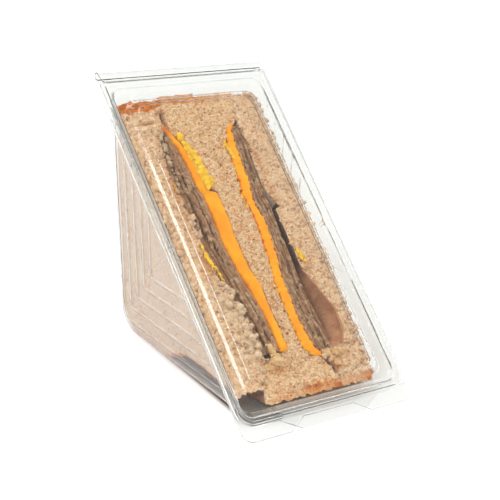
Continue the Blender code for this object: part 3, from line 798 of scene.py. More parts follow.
# %% The sides of a slice
BOTTOM_ROUND = 2.2       # mm, how round the outer edges are at the bottom crust
RAGGED_DEPTH = 2.5       # how far the ragged sides reach behind the cut
PRESSED = -0.1           # the gap beyond the fillings, where bread is pressed against bread
TOUCHING = 0.16          # how far each middle slice reaches towards the other
SWELL = 1.8              # how far the left slice bulges towards the tray's wall


def rounding(ahead, above, inset):
    """How far a slice's outer side draws in towards the crust."""
    bend = mix(BOTTOM_ROUND, CRUST_ROUND, smooth(-10, 10, above - ahead))
    return bend - np.sqrt(bend ** 2 - np.clip(bend - inset, 0, None) ** 2)


def torn_share(name, v):
    """1 where the left slice's inner edge is torn, and 0 elsewhere."""
    return smooth(20, 27, v) * (1 - smooth(56, 70, v)) * (name == "bread_1")


def slice_sides(name, seed, v, w, d, rounded):
    """x of a slice's left and right sides, ragged near the cut."""
    left, right = SLICES[name][:2]
    row = np.clip(0.5 + w / (2 * row_half(d)), 0, 1)
    front = 1 - smooth(0.0, RAGGED_DEPTH, d - CUT_DEPTH)
    middle = smooth(8, 22, v) * (1 - smooth(140, 152, v))
    left_rough = wobble(row, seed + 5, 11, 0.35) * middle
    right_rough = wobble(row, seed, 17, 0.5) * middle
    tear = 0.9 + wobble(row, seed + 2, 9, 1.5) + wobble(row, seed, 41, 0.7)
    right_rough = right_rough + torn_share(name, v) * tear
    if right == "outer_right":
        right_rough = wobble(row, seed, 21, 0.8) + wobble(row, seed + 1, 47, 1.6) - 0.9
    for boundary, way, rough in ((left, 1, left_rough), (right, -1, right_rough)):
        gap = rounded if boundary.startswith("outer") else mix(PRESSED, SEAM, middle)
        if boundary == "bread_c":
            gap, rough = gap - TOUCHING, 0
        bulge = SWELL * smooth(6, 30, d) * (boundary == "outer_left")
        yield layer_x(boundary, row, d) + way * gap + front * rough - bulge


print("ragged sides reach", RAGGED_DEPTH, "mm behind the cut")


# %% [markdown]
# ## What the relief and the finish read
#
# One tree and one material serve every slice, because the mesh itself says what each point is
# like. These attributes are called marks here. Open, rough and facing steer the relief: how torn,
# how lumpy and whether on the cut. Loose says where crumbs stick. Inset and baked place and
# brown the crust. Four marks tint the crumb: wall puts painted grey shade on the flat side, paler
# lightens the outer slices, a third adds juice and mustard stains and painted shade in the
# deepest tears and holes, and a fourth paints shade at the lower corner of the left half.

# %% Marks of a slice
BAKED_BEHIND = 0.8       # how brown the crust is behind the cut
BROWN_DEEPER = 2.3       # mm that a brown crust is thicker
LUMPIER = 3.0            # the left slice's torn edge has lumps this much larger
PALER = 0.18             # how much paler the two outer slices are, as a share
CRUST_WAVES = 2.6        # waves across the cut's crust edge
CRUST_WAVE = 0.7         # their size in mm


def bell(v, x, spots):
    """The sum of soft round spots, each with its place, its two half sizes and its strength."""
    total = 0.0
    for spot_v, spot_x, long, wide, strength in spots:
        far = ((v - spot_v) / long) ** 2 + ((x - spot_x) / wide) ** 2
        total = total + strength * np.exp(-far)
    return total


def browning(x, low_side):
    """How brown the crust is: deep on the left at the top, pale on the right."""
    top = mix(1.0, 0.6, smooth(-24, -17, x)) * mix(1.0, 0.6, smooth(2, 9, x))
    top = top * mix(1.0, 0.4, smooth(14, 24, x))
    bottom = 0.3 * smooth(-24, -20, x) + 0.35 * smooth(-8, -4, x)
    bottom = bottom * mix(1.0, 0.5, smooth(14.5, 16, x) * (1 - smooth(26, 30, x)))
    return np.where(low_side, bottom, top)


def looseness(name, s, d, on_cut, torn_zone):
    """How thickly loose crumbs lie: most along torn and outer edges."""
    inner_edge = smooth(0.78, 0.96, s) * (name == "bread_1")
    outer_edge = smooth(0.93, 1.0, s) * (name == "bread_4")
    left_edge = 0.4 * smooth(0.1, 0.0, s) * (name != "bread_3")
    loose = inner_edge * mix(0.5, 1.0, torn_zone) + 3 * outer_edge + left_edge + 0.03
    loose = on_cut * np.clip(loose + 0.25 * torn_zone * smooth(0.3, 0.8, s), 0, 3)
    return loose + (1 - on_cut) * outer_edge * 0.4 * smooth(8, 4, d)


def bread_block(name, seed):
    """One slice as a block, with the marks that its relief and its finish read."""
    (s, t, k), faces, w, d, ahead, above, inset = slice_outline(*SLICES[name][2:])
    v = MID_V + w
    torn_zone = torn_share(name, v)
    x = mix(*slice_sides(name, seed, v, w, d, rounding(ahead, above, inset)), s)
    behind = d - CUT_DEPTH
    crust_bump = np.minimum(wobble(s, seed + 3, CRUST_WAVES, CRUST_WAVE, 3) - 0.2, 0.5)
    v = v + np.sign(w) * crust_bump * smooth(5, 0, inset) * (1 - smooth(0, 5, behind))
    on_cut = 1 - smooth(0.0, CUT_SKIN, behind)
    d = d + bell(v, x, TEARS) * on_cut
    brown = mix(browning(x, ahead > above), BAKED_BEHIND, smooth(1.0, 8.0, d - CUT_DEPTH))
    marks = {
        "inset": inset - BROWN_DEEPER * brown * on_cut,
        "open": mix(0.35, 1.0, on_cut) * mix(0.2, 1.0, smooth(0.5, 3.0, inset)),
        "facing": np.where(k == 0, 1.0, 0.0),
        "loose": looseness(name, s, d, on_cut, torn_zone),
        # painted grey shade on the flat side behind the tray's wall
        "wall": 0.5 * (1 - on_cut) * smooth(0.5, 3.0, inset),
        "rough": 1 + LUMPIER * torn_zone * smooth(0.2, 0.7, s) * on_cut,
        "baked": brown,
        # painted shade at the lower corner of the left half's sides
        "low_corner_shade": (1 - on_cut) * smooth(18, 8, v) * (name in ("bread_1", "bread_2")),
        "paler": PALER * (name in ("bread_1", "bread_4")),
        # juice and mustard stains, and painted shade in the deepest tears and holes
        "stain_and_shade": bell(v, x, STAINS_AND_SHADE) * on_cut,
    }
    return new_piece(name + "_crumb", np.stack([x, v, d], -1), faces, **marks)


print("the cut's crust edge has", CRUST_WAVES, "waves of", CRUST_WAVE, "mm")

# %% The four slices
FIRST_SEED = 11
SMALL_CRUMB = 0.9        # radius of the largest crumbs on most slices, in mm
FINE_PORES = {"Pore_Size": 1.5, "Pore_Depth": 0.8}
COARSE_PORES = {"Pore_Size": 2.0, "Pore_Depth": 1.1}
SLICE_PORES = {"bread_1": COARSE_PORES, "bread_4": COARSE_PORES}
LARGEST_CRUMB = {"bread_1": 2.4, "bread_4": 1.5}
for seed, name in enumerate(SLICES):
    slice_piece = bread_block(name, seed + FIRST_SEED)
    loose_piece = grow(slice_piece, loose_tree, name + "_loose_crumbs", Seed=seed + 1,
                       Largest=LARGEST_CRUMB.get(name, SMALL_CRUMB), Finish=bread_finish)
    grow(slice_piece, crumb_tree, Finish=bread_finish, **SLICE_PORES.get(name, FINE_PORES))
    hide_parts(name)
    for piece in (slice_piece, loose_piece):
        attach(piece, "pack")
    print(name, len(slice_piece.data.polygons), "faces, and loose crumbs with",
          len(loose_piece.data.polygons))

# %% [markdown]
# ## Meat and cheese slices
#
# The fillings are thin slabs between two boundaries. Their cut edges are rounded and each one
# stands a little further out or in than the next, which gives the dark lines between them.
# Another Geometry Nodes tree gives them an uneven skin: noise that can be stretched along the
# slice, for the long fibres of beef, or left round, for soft cheese.

# %% Geometry Nodes: uneven skin
skin_tree, given, result = new_shaper(
    "Uneven skin", ("Grain Across", "Float", 1.0), ("Grain Along", "Float", 6.0),
    ("Depth", "Float", 0.3), ("Seed", "Float", 0.0))
size = put(skin_tree, "ShaderNodeCombineXYZ", (0, given["Grain Across"]),
           (1, given["Grain Along"]), (2, given["Grain Along"]))
spot = vectors(skin_tree, "DIVIDE", read_place(skin_tree), size)
spot = vectors(skin_tree, "ADD", spot, given["Seed"])
grain = noise(skin_tree, spot, 1.0, 5.0, roughness=0.65)
height = sums(skin_tree, "MULTIPLY", sums(skin_tree, "SUBTRACT", grain, 0.5),
              sums(skin_tree, "MULTIPLY", given["Depth"], 2 * MILLIMETRE))
shape = put(skin_tree, "GeometryNodeSetPosition", (0, given["Geometry"]),
            ("Offset", straight_out(skin_tree, height)))
end_shaper(skin_tree, shape, given, result)


# %% Beef materials
def fibres(tree, across, along):
    """Streaks that run along the slice."""
    squeezed = vectors(tree, "MULTIPLY", marked(tree, "place"),
                       (1 / across, 1 / along, 1 / along))
    return noise(tree, squeezed, 1.0, 5.0, roughness=0.65, distortion=0.6)


beef_finish, tree, shader = new_material("beef", Roughness=0.55, Specular_IOR_Level=0.22)
strand = ramp(tree, fibres(tree, 0.9, 2.0), 0.3, 0.7)
dark_leaf = mixed(tree, strand, paint(120, 80, 46), paint(150, 106, 68))
pale_leaf = mixed(tree, strand, paint(164, 120, 84), paint(188, 144, 106))
meat = coats(
    tree, mixed(tree, marked(tree, "tone", 2), dark_leaf, pale_leaf),
    # (pattern, size, low or share, high or reach, shade)
    (blotch, 3.0, 0.48, 0.66, (184, 150, 114)),
    (blotch, 2.0, 0.54, 0.68, (116, 86, 62)),
    (speck, 2.4, 0.27, 0.42, (98, 70, 50)))
tree.links.new(meat, shader.inputs["Base Color"])
bump(tree, shader, fibres(tree, 0.6, 1.3), 0.0004, 0.4)

face_finish, tree, shader = new_material("beef_face", Roughness=0.5,
                                         Specular_IOR_Level=0.25)
across_grain = vectors(tree, "MULTIPLY", marked(tree, "place"), (0.25, 0.9, 0.25))
lines = noise(tree, across_grain, 1.3, 3.0, distortion=0.8)
meat = coats(
    tree, paint(186, 126, 86),
    (blotch, 6.0, 0.35, 0.65, (206, 150, 110)),
    (ramp(tree, lines, 0.5, 0.62, 0.0, 0.35), (150, 104, 76)),
    # painted shade: darker towards the back and the upper end
    (marked(tree, "shade", 2), (80, 48, 30)))
tree.links.new(meat, shader.inputs["Base Color"])
bump(tree, shader, lines, 0.0004, 0.4)
print("materials:", beef_finish.name, "and", face_finish.name)

# %% Cheese material
cheese_finish, tree, shader = new_material("cheese", Roughness=0.55,
                                           Specular_IOR_Level=0.12)
tone = coats(
    tree, paint(252, 172, 8),
    (blotch, 7.0, 0.35, 0.65, (250, 154, 2)),
    # darker towards the upper tip of the left cheese and the left sides of both
    (marked(tree, "rind", 2), (232, 112, 8)))
tree.links.new(tone, shader.inputs["Base Color"])
bump(tree, shader, pattern(tree, blotch, 2.0, 0.2, 0.8), 0.0002, 0.4)
print("material:", cheese_finish.name)


# %% The shape of a filling
FILL_BACK = 66.0         # d of the fillings' backs
FRONT_REACH = 3.0        # mm behind the cut, over which the fine waves fade out
RAGGED_WAVES = 34        # teeth along a ragged edge


def filling(name, sides, shares, ends, poke, seed, wave, cells, edge_round, ragged=0.0,
            **marks):
    """A slab between two boundaries, from one v to another, with a wavy rounded cut edge."""
    (s, t, k), faces = block(*cells)
    d = mix(CUT_DEPTH, FILL_BACK, 0.08 * k + 0.92 * k ** 3)
    row = mix(share_at(ends[0]), share_at(ends[1]), t)
    w = (2 * row - 1) * row_half(d)
    front = 1 - smooth(0.0, FRONT_REACH, d - CUT_DEPTH)
    share = mix(shares[0], shares[1], s)
    between = share * (1 - share) * 4
    fine_wave = wobble(row, seed + 1, 17, wave / 3) * front
    share = share + between * (wobble(row, seed, 3, wave) + fine_wave)
    x = mix(layer_x(sides[0], row, d), layer_x(sides[1], row, d), share)
    x = x + ragged * front * (2 * s - 1) * wobble(row, seed + 3 + (s > 0.5), RAGGED_WAVES,
                                                  1.0, 4)
    bulge = 1 - (2 * s - 1) ** 2
    tips = smooth(0, 0.02, t) * smooth(0, 0.02, 1 - t)
    out = poke + wobble(row, seed + 2, 5, 0.5, 3) + edge_round * (np.sqrt(bulge * tips) - 1)
    d = d - out * front
    marks = {mark: value(s, t) for mark, value in marks.items()}
    return new_piece(name, np.stack([x, MID_V + w, d], -1), faces, **marks)


print("fillings reach", FILL_BACK - CUT_DEPTH, "mm behind the cut")

# %% Beef
BEEF = {
    # name: (boundaries, shares of the room between them, how far it stands out of the cut)
    "beef_1a": (("beef_a", "cheese_a"), (0.00, 0.34), -0.9),
    "beef_1b": (("beef_a", "cheese_a"), (0.34, 0.68), 0.1),
    "beef_1c": (("beef_a", "cheese_a"), (0.68, 1.00), -0.1),
    "beef_2a": (("beef_b", "beef_c"), (0.00, 0.36), 0.1),
    "beef_2b": (("beef_b", "beef_c"), (0.36, 0.70), -0.3),
    "beef_2c": (("beef_b", "beef_c"), (0.70, 1.00), 0.1),
}
TONES = (0.45, 0.3, 0.1, 0.5, 0.35, 0.9, 0.6, 0.15, 0.4, 0.1, 0.5, 0.0)
LEAVES = 2               # each slice of beef is folded into two leaves
LEAF_GAP = 0.004         # a share of the room, left free on each side of a leaf
LEAF_STEP = 0.1          # mm that the leaves stand in or out of their slice's cut edge
LEAF_WAVE = 0.07         # a share of the room, by which the leaves wander
LEAF_ROUND = 0.35        # mm
LEAF_CELLS = (6, 420, 10)
BEEF_ENDS = {"beef_a": (24.5, 147.0), "beef_b": (20.5, 146.0)}
for seed, (name, (sides, shares, poke)) in enumerate(BEEF.items()):
    cuts = np.linspace(*shares, LEAVES + 1)
    for leaf in range(LEAVES):
        shade = TONES[LEAVES * seed + leaf]
        piece = filling(f"{name}_leaf_{leaf + 1}", sides,
                        (cuts[leaf] + LEAF_GAP, cuts[leaf + 1] - LEAF_GAP),
                        BEEF_ENDS[sides[0]], poke + LEAF_STEP * (-1) ** leaf,
                        31 + 7 * seed + 3 * leaf, LEAF_WAVE, LEAF_CELLS, LEAF_ROUND,
                        tone=lambda s, t, shade=shade: shade + 0 * s)
        grow(piece, skin_tree, Grain_Across=1.6, Grain_Along=2.2, Depth=0.5,
             Seed=3.0 * seed + leaf, Finish=beef_finish)
        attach(piece, "pack")
        if leaf == 0:
            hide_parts(name)
print("beef:", len(BEEF), "slices of", LEAVES, "leaves")


# %% Cheese
def upper_rind(s, t):
    """The darker upper tip and left side of the left cheese."""
    return smooth(0.93, 1.0, t) * 0.9 + 0.4 * smooth(0.1, 0, s)


def lower_rind(s, t):
    """The darker left side of the right cheese, half way up."""
    return smooth(0.16, 0.0, s) * smooth(0.35, 0.5, t) * smooth(0.8, 0.7, t)


upper_cheese = filling("cheese_1_slice", ("cheese_a", "cheese_a_end"), (0.0, 1.0),
                       (23.8, 149.2), 1.0, 71, 0.0, (16, 460, 12), 1.2, 0.2,
                       rind=upper_rind)
lower_cheese = filling("cheese_2_slice", ("cheese_b", "beef_b"), (0.0, 1.0),
                       (17.5, 147.5), 0.6, 75, 0.0, (14, 460, 12), 0.8, 0.55,
                       rind=lower_rind)
for piece, node, depth, along in ((upper_cheese, "cheese_1", 0.28, 9.0),
                                  (lower_cheese, "cheese_2", 0.5, 2.2)):
    grow(piece, skin_tree, Grain_Across=2.0, Grain_Along=along, Depth=depth, Seed=depth,
         Finish=cheese_finish)
    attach(piece, "pack")
    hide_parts(node)
    print(piece.name, len(piece.data.polygons), "faces")

# %% [markdown]
# ## The folded slice
#
# One slice of beef leans away from the others and shows its broad pink face at the bottom of the
# right half. It is a thin slab that lies against the last slice of bread, thinner where the
# stack leaves little room, and painted shade darkens it towards its back and its upper end.

# %% Folded slice
FOLD_ENDS = (20.5, 99.0)         # v of its two ends
FOLD_CELLS = (10, 360, 22)
FOLD_THIN, FOLD_THICK = 0.2, 0.7
FOLD_OFF = 0.3           # mm between it and the stack
(s, t, k), faces = block(*FOLD_CELLS)
row = mix(*map(share_at, FOLD_ENDS), t)
d = mix(CUT_DEPTH, FILL_BACK, 0.25 * k + 0.75 * k * k)
open_side = layer_x("bread_d", row, d) - SEAM
stack_side = layer_x("beef_c", row, d) + FOLD_OFF
x = open_side - np.clip(open_side - stack_side, FOLD_THIN, FOLD_THICK) * (1 - s)
v = MID_V + (2 * row - 1) * row_half(d)
folded = new_piece("beef_2_folded_face", np.stack([x, v, d], -1), faces,
                   # painted shade, deeper towards the back and the upper end
                   shade=np.maximum(smooth(6, 24, d) * 0.85, smooth(56, 66, v)))
grow(folded, skin_tree, Grain_Across=3.0, Grain_Along=5.0, Depth=0.35, Seed=9.0,
     Finish=face_finish)
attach(folded, "pack")
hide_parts("beef_2_folded")
print(folded.name, len(folded.data.polygons), "faces")

# %% [markdown]
# ## Mustard, spread and soaked crumbs
#
# Mustard is squeezed out between the layers in ragged daubs, soft spread gathers at the lower
# corners, and crumbs soaked in juice stick along the left beef. A soft lumpy shape is easiest to
# make as a volume: points are strewn where each daub lies, each point becomes a small ball of
# fog, and the fog's surface is turned into a mesh that joins balls which touch.

# %% Geometry Nodes: squeezed sauce
FOG_LEVEL = 0.1          # how thick the fog is at the surface
sauce_tree, given, result = new_shaper(
    "Squeezed sauce", ("Voxel", "Float", 0.00022), ("Softness", "Int", 12))
dots = put(sauce_tree, "GeometryNodeMeshToPoints", (0, given["Geometry"]))
fog = put(sauce_tree, "GeometryNodePointsToVolume", (0, dots),
          ("Voxel Size", given["Voxel"]),
          ("Radius", sums(sauce_tree, "MULTIPLY", read_mark(sauce_tree, "size"), MILLIMETRE)),
          resolution_mode="VOXEL_SIZE")
shape = put(sauce_tree, "GeometryNodeVolumeToMesh", (0, fog), ("Voxel Size", given["Voxel"]),
            ("Threshold", FOG_LEVEL), resolution_mode="VOXEL_SIZE")
softer = put(sauce_tree, "GeometryNodeBlurAttribute",
             (0, put(sauce_tree, "GeometryNodeInputPosition")),
             ("Iterations", given["Softness"]), data_type="FLOAT_VECTOR")
shape = put(sauce_tree, "GeometryNodeSetPosition", (0, shape), ("Position", softer))
end_shaper(sauce_tree, shape, given, result)


# %% Sauce materials
SAUCE_CLOUDS = 420.0     # clouds of tone in one metre


def sauce_finish(name, bright, deep, dark, **settings):
    """A glossy sauce in three tones, placed by the piece's own coordinates."""
    finish, tree, shader = new_material(name, **settings)
    patchy = noise(tree, put(tree, "ShaderNodeTexCoord", out=3), SAUCE_CLOUDS, 3.0)
    tone = coats(tree, paint(*bright), (ramp(tree, patchy, 0.36, 0.6), deep),
                 (ramp(tree, patchy, 0.62, 0.74), dark))
    tree.links.new(tone, shader.inputs["Base Color"])
    return finish


mustard_finish = sauce_finish("mustard", (255, 204, 24), (226, 172, 8), (136, 118, 8),
                              Roughness=0.3, Specular_IOR_Level=0.4)
spread_finish = sauce_finish("soft_spread", (226, 190, 138), (202, 156, 98), (168, 98, 32),
                             Roughness=0.4, Specular_IOR_Level=0.3)
bits_finish = sauce_finish("soaked_crumb", (202, 178, 142), (168, 142, 108), (110, 84, 54),
                           Roughness=0.6, Specular_IOR_Level=0.3)
print("materials:", mustard_finish.name, spread_finish.name, bits_finish.name)

# %% Tables for the sauces
DAUBS = [
    # (v, x, half length, half width, lean of the long axis, points, ball size, depth)
    (141.5, -13.8, 2.2, 1.4, -0.10, 50, 1.05, 3.9),
    (134.5, -12.6, 4.0, 1.2, -0.20, 100, 1.15, 3.7),
    (127.5, -11.2, 4.6, 1.7, -0.15, 160, 1.25, 3.6),
    (121.0, -10.2, 4.5, 2.0, -0.10, 170, 1.30, 3.6),
    (115.5, -9.6, 3.0, 2.0, -0.05, 110, 1.20, 3.7),
    (131.5, 9.8, 4.5, 0.9, -0.15, 50, 0.85, 3.9),
    (104.0, 6.2, 8.0, 0.5, 0.05, 26, 0.60, 4.1),
    (76.0, -26.3, 6.4, 1.0, -0.12, 90, 0.65, 3.7),
    (68.0, -23.9, 5.0, 0.8, -0.20, 36, 0.60, 3.9),
    (113.0, -27.6, 5.0, 0.5, 0.0, 16, 0.50, 4.0),
    (70.0, 23.8, 3.4, 1.1, -0.2, 44, 0.75, 3.9),
    (78.0, 21.6, 1.2, 0.5, 0.0, 6, 0.5, 4.0),
    (63.5, -6.2, 5.0, 0.6, -0.2, 22, 0.50, 3.9),
    (54.0, 2.4, 4.0, 0.4, 0.0, 12, 0.45, 4.0),
    (24.5, -15.0, 1.0, 1.0, 0.0, 4, 0.5, 4.1),
]
SPREADS = [
    # the same columns
    (27.0, -13.5, 3.0, 1.6, -0.3, 60, 0.9, 4.4),
    (21.5, -13.0, 2.2, 3.4, 0.0, 110, 0.9, 4.4),
    (19.0, -19.0, 1.6, 2.4, 0.0, 50, 0.8, 4.5),
    (19.5, 14.5, 1.6, 2.4, 0.0, 60, 0.8, 4.4),
    (18.5, 21.5, 1.2, 4.0, -0.4, 110, 0.9, 4.3),
    (13.5, 18.5, 1.3, 1.6, 0.0, 40, 0.8, 4.4),
]
BITS = [
    # the same columns
    (143.0, -23.8, 3.0, 0.9, 0.5, 26, 0.7, 3.4),
    (136.5, -24.8, 4.0, 1.2, 0.1, 36, 0.7, 3.3),
    (128.0, -25.6, 5.0, 1.0, 0.1, 34, 0.7, 3.3),
    (117.0, -25.7, 6.0, 0.8, 0.1, 30, 0.6, 3.4),
    (92.0, -24.6, 9.0, 0.7, 0.0, 26, 0.5, 3.6),
    (26.0, -19.0, 3.0, 0.8, 0.0, 16, 0.5, 4.4),
]
print("daubs:", len(DAUBS), "of mustard,", len(SPREADS), "of spread and", len(BITS),
      "of soaked crumbs")

# %% Sauces
SAUCE_SEED = 5
SCATTER = 0.25           # mm that the balls stray in depth


def squeeze(name, daubs, finish):
    """Sauce pressed out of the cut face where a table says, as one piece."""
    rng = np.random.default_rng(SAUCE_SEED)
    dots, sizes = [], []
    for v, x, long, wide, lean, count, ball, depth in daubs:
        u, w = rng.normal(0, 0.5, (2, count))
        dots.append(np.stack([x + wide * w + lean * long * u, v + long * u,
                              depth + rng.normal(0, SCATTER, count)], -1))
        sizes.append(ball * rng.uniform(0.6, 1.1, count))
    mesh = bpy.data.meshes.new(name)
    mesh.from_pydata(place(*np.concatenate(dots).T).tolist(), [], [])
    layer = mesh.attributes.new("size", "FLOAT", "POINT")
    layer.data.foreach_set("value", np.concatenate(sizes).astype(np.float32))
    sauce = bpy.data.objects.new(name, mesh)
    bpy.context.scene.collection.objects.link(sauce)
    grow(sauce, sauce_tree, Finish=finish)
    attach(sauce, "pack")
    print(name, len(sauce.data.polygons), "faces")


squeeze("mustard", DAUBS, mustard_finish)
squeeze("soft_spread", SPREADS, spread_finish)
squeeze("soaked_crumbs", BITS, bits_finish)

# %% [markdown]
# ## The tray as a formed sheet
#
# A thermoformed tray is one thin sheet, so it is easiest to model the sheet's middle surface and
# to give it thickness at the end. Columns run across the pack: down one side wall, round the
# lower edge, over the floor of the trough and up the other side. Rows follow the two straight
# legs and the round heel between them. The rim turns over into a flange, with the two tabs that
# the pack stands on.

# %% Sizes of the tray
SHEET = 0.5              # thickness of the clear sheet, in mm like all sizes here
RIM_DEPTH = 1.0          # where the walls turn over into the flange
HEEL_RADIUS = 14.5
EDGE_FILLET = 5.5        # between the side walls and the legs
FLANGE_HALF = 47.2       # half its width at the lower end
FLANGE_FLARE = 1.6       # how much wider that is at the upper end
FLANGE_TOP = 174.4       # v
FLANGE_LOW = -7.0        # v between the tabs
FLANGE_ROUND = 2.0
FLANGE_DEPTH = 0.25      # d
TAB_LOW = -12.6          # v
TAB_ROUND = 5.0
TAB_INNER = 22.8         # x where a tab has its full length
TAB_ROOT = 14.0          # x where it starts
LIP = 0.9                # d of the turned-down lip's edge
RIM_STEPS = ((0.07, 0.75), (0.2, 0.5), (0.42, 0.32), (0.75, FLANGE_DEPTH))  # (out, d)
LIP_STEPS = ((0.15, 0.3), (0.28, 0.45), (0.34, 0.68), (0.35, LIP))          # (out, d)
FLANGE_SHARES = (0.1, 0.3, 0.6, 0.9, 1)
END_STEP = 1.6           # the rim's steps are wider at the ends, where the legs slant
UPRIGHT = 1.57           # radians: columns turned more than this are on the flat side walls
FINE_INSET = 46          # mm from the legs, inside which the columns lie close for the ribs
COLUMN_STEPS = (3.5, 0.35)       # mm between columns, outside and inside it
FILLET_STEPS = 13
HEEL_STEPS = 17
HEEL_RIBS = 0.6          # the ribs' height round the heel, as a share
print("rim steps:", len(RIM_STEPS), "and lip steps:", len(LIP_STEPS))

# %% Columns and rows of the tray
leg = APEX * ROOT2
rim = leg - RIM_DEPTH * ROOT2
half_leg = leg / 2 - RIM_DEPTH / ROOT2
inset = np.concatenate([np.arange(half_leg, FINE_INSET, -COLUMN_STEPS[0]),
                        np.arange(FINE_INSET, EDGE_FILLET, -COLUMN_STEPS[1])])
angle = np.radians(np.linspace(90, 0, FILLET_STEPS))
floor_x = np.array([-TAB_INNER, -20, -17, -TAB_ROOT, -7, 0, 7, TAB_ROOT, 17, 20, TAB_INNER])
side_inset = np.concatenate([inset, EDGE_FILLET * (1 - np.cos(angle))])
side_step = np.concatenate([0 * inset, EDGE_FILLET * (1 - np.sin(angle))])
side_angle = np.concatenate([np.full(len(inset), math.pi / 2), angle])
one_side = np.ones(len(side_inset))
column_side = np.concatenate([-one_side, 0 * floor_x, one_side])
column_inset = np.concatenate([side_inset, 0 * floor_x, side_inset[::-1]])
column_step = np.concatenate([side_step, floor_x, side_step[::-1]])
column_angle = np.concatenate([side_angle, 0 * floor_x, side_angle[::-1]])


def tray_rows(inset):
    """Each column's path round the legs and the heel, and how the ribs fade along it."""
    outside = inset - SHEET / 2
    radius = np.maximum(HEEL_RADIUS - outside, 1.2)
    centre = np.minimum(outside + radius, rim - outside)
    straight = np.array([0, 0.004, 0.012, *np.linspace(0.08, 0.92, 9), 0.99, 1])[:, None]
    turn = np.radians(np.linspace(0, 90, HEEL_STEPS))[1:-1, None]
    level = outside + 0 * straight
    forward = np.concatenate([mix(rim - outside, centre, straight),
                              centre - radius * np.sin(turn), level])
    up = np.concatenate([level, centre - radius * np.cos(turn),
                         mix(centre, rim - outside, straight)])
    start = smooth(0.06, 0.2, straight) + 0 * inset
    fade = np.concatenate([start, HEEL_RIBS + 0 * turn * inset,
                           smooth(0.06, 0.2, 1 - straight) + 0 * inset])
    return forward, up, fade


forward, up, fade = tray_rows(column_inset[None])
v = MID_V + (up - forward) / ROOT2
d = APEX - (forward + up) / ROOT2
x = np.where(column_side == 0, column_step,
             column_side * (wall_x(d) + SHEET / 2 - column_step))
wall = np.stack([x, v, d], -1)
rows, columns = x.shape
print("tray wall:", rows, "rows and", columns, "columns")


# %% Rim, flange and lip
def ring_line(high):
    """Points on the rim at one end of the columns, and the flange's outline beside them."""
    start = wall[-1 if high else 0]
    way = 1 if high else -1
    out = np.stack([column_side * np.sin(column_angle),
                    way * np.cos(column_angle) * END_STEP], -1)
    end, radius = (FLANGE_TOP, FLANGE_ROUND) if high else (TAB_LOW, TAB_ROUND)
    on_tab = np.clip((np.abs(start[:, 0]) - TAB_ROOT) / (TAB_INNER - TAB_ROOT), 0, 1)
    tab = FLANGE_TOP if high else mix(FLANGE_LOW, TAB_LOW, on_tab)
    corner_v = end - way * radius * (1 - np.cos(column_angle))
    on_wall = (column_angle > UPRIGHT) & (column_inset > EDGE_FILLET + 0.1)
    flange_v = np.where(column_side == 0, tab, np.where(on_wall, start[:, 1], corner_v))
    flange_x = FLANGE_HALF + FLANGE_FLARE * smooth(0, FLANGE_TOP, flange_v)
    pull = np.where(on_wall, 0, radius * (1 - np.sin(column_angle)))
    flange_x = np.where(column_side == 0, start[:, 0], column_side * (flange_x - pull))
    return start, out, np.stack([flange_x, flange_v], -1)


low, high = ring_line(False), ring_line(True)
start, out, outline = (np.concatenate([a, b[::-1]]) for a, b in zip(low, high))
rings = [np.column_stack([start[:, :2] + out * step, np.full(len(out), depth)])
         for step, depth in RIM_STEPS]
inner = rings[-1].copy()
for share in FLANGE_SHARES:
    rings.append(np.column_stack([mix(inner[:, :2], outline, share),
                                  np.full(len(out), FLANGE_DEPTH)]))
rings += [np.column_stack([outline + out * step, np.full(len(out), depth)])
          for step, depth in LIP_STEPS]
print("rings from the rim to the lip:", len(rings))


# %% Tray mesh
def strips(grid, closed=False):
    """Quads between neighbouring rows of a grid of point numbers."""
    side = np.roll(grid, -1, 1) if closed else grid[:, 1:]
    grid = grid if closed else grid[:, :-1]
    return np.stack([grid[:-1], side[:-1], side[1:], grid[1:]], -1).reshape(-1, 4)


wall_numbers = np.arange(rows * columns).reshape(rows, columns)
ring_numbers = rows * columns + np.arange(len(rings) * len(out)).reshape(len(rings), -1)
first_ring = np.concatenate([wall_numbers[0], wall_numbers[-1][::-1]])[None]
faces = np.concatenate([strips(wall_numbers),
                        strips(np.concatenate([first_ring, ring_numbers]), True)])
points = np.concatenate([wall.reshape(-1, 3), np.concatenate(rings)])


def wall_mark(values):
    """A mark on the points of the wall, and 0 on those of the flange."""
    whole = np.zeros(len(points))
    whole[:rows * columns] = np.broadcast_to(values, (rows, columns)).ravel()
    return whole


on_side = (column_angle > UPRIGHT) & (column_side != 0)
tray = new_piece("tray_sheet", points, faces,
                 side=wall_mark(np.where(on_side, column_side, 0)),
                 inset=wall_mark(column_inset), fade=wall_mark(fade))
print("tray surface:", len(faces), "faces")

# %% [markdown]
# ## Nested ribs
#
# The side walls are stiffened by small ribs at one even spacing, each a chevron inside the last.
# One Geometry Nodes tree makes them all: it takes every point's distance from the legs, finds
# the nearest rib and lifts the wall outwards there. The same tree gives the sheet its slight
# waviness, since no formed sheet is quite flat.

# %% Geometry Nodes: nested ribs
rib_tree, given, result = new_shaper(
    "Nested ribs", ("Spacing", "Float", 7.7), ("First", "Float", 8.1),
    ("Count", "Float", 5.0), ("Half Width", "Float", 1.3), ("Height", "Float", 0.8),
    ("Waviness", "Float", 0.1))
from_first = sums(rib_tree, "SUBTRACT", read_mark(rib_tree, "inset"), given["First"])
number = sums(rib_tree, "ROUND", sums(rib_tree, "DIVIDE", from_first, given["Spacing"]))
number = sums(rib_tree, "MAXIMUM", number, 0.0)
number = sums(rib_tree, "MINIMUM", number, sums(rib_tree, "SUBTRACT", given["Count"], 1.0))
away = sums(rib_tree, "SUBTRACT", from_first,
            sums(rib_tree, "MULTIPLY", number, given["Spacing"]))
away = sums(rib_tree, "DIVIDE", away, given["Half Width"])
rise = sums(rib_tree, "MAXIMUM", 0.0,
            sums(rib_tree, "SUBTRACT", 1.0, sums(rib_tree, "MULTIPLY", away, away)))
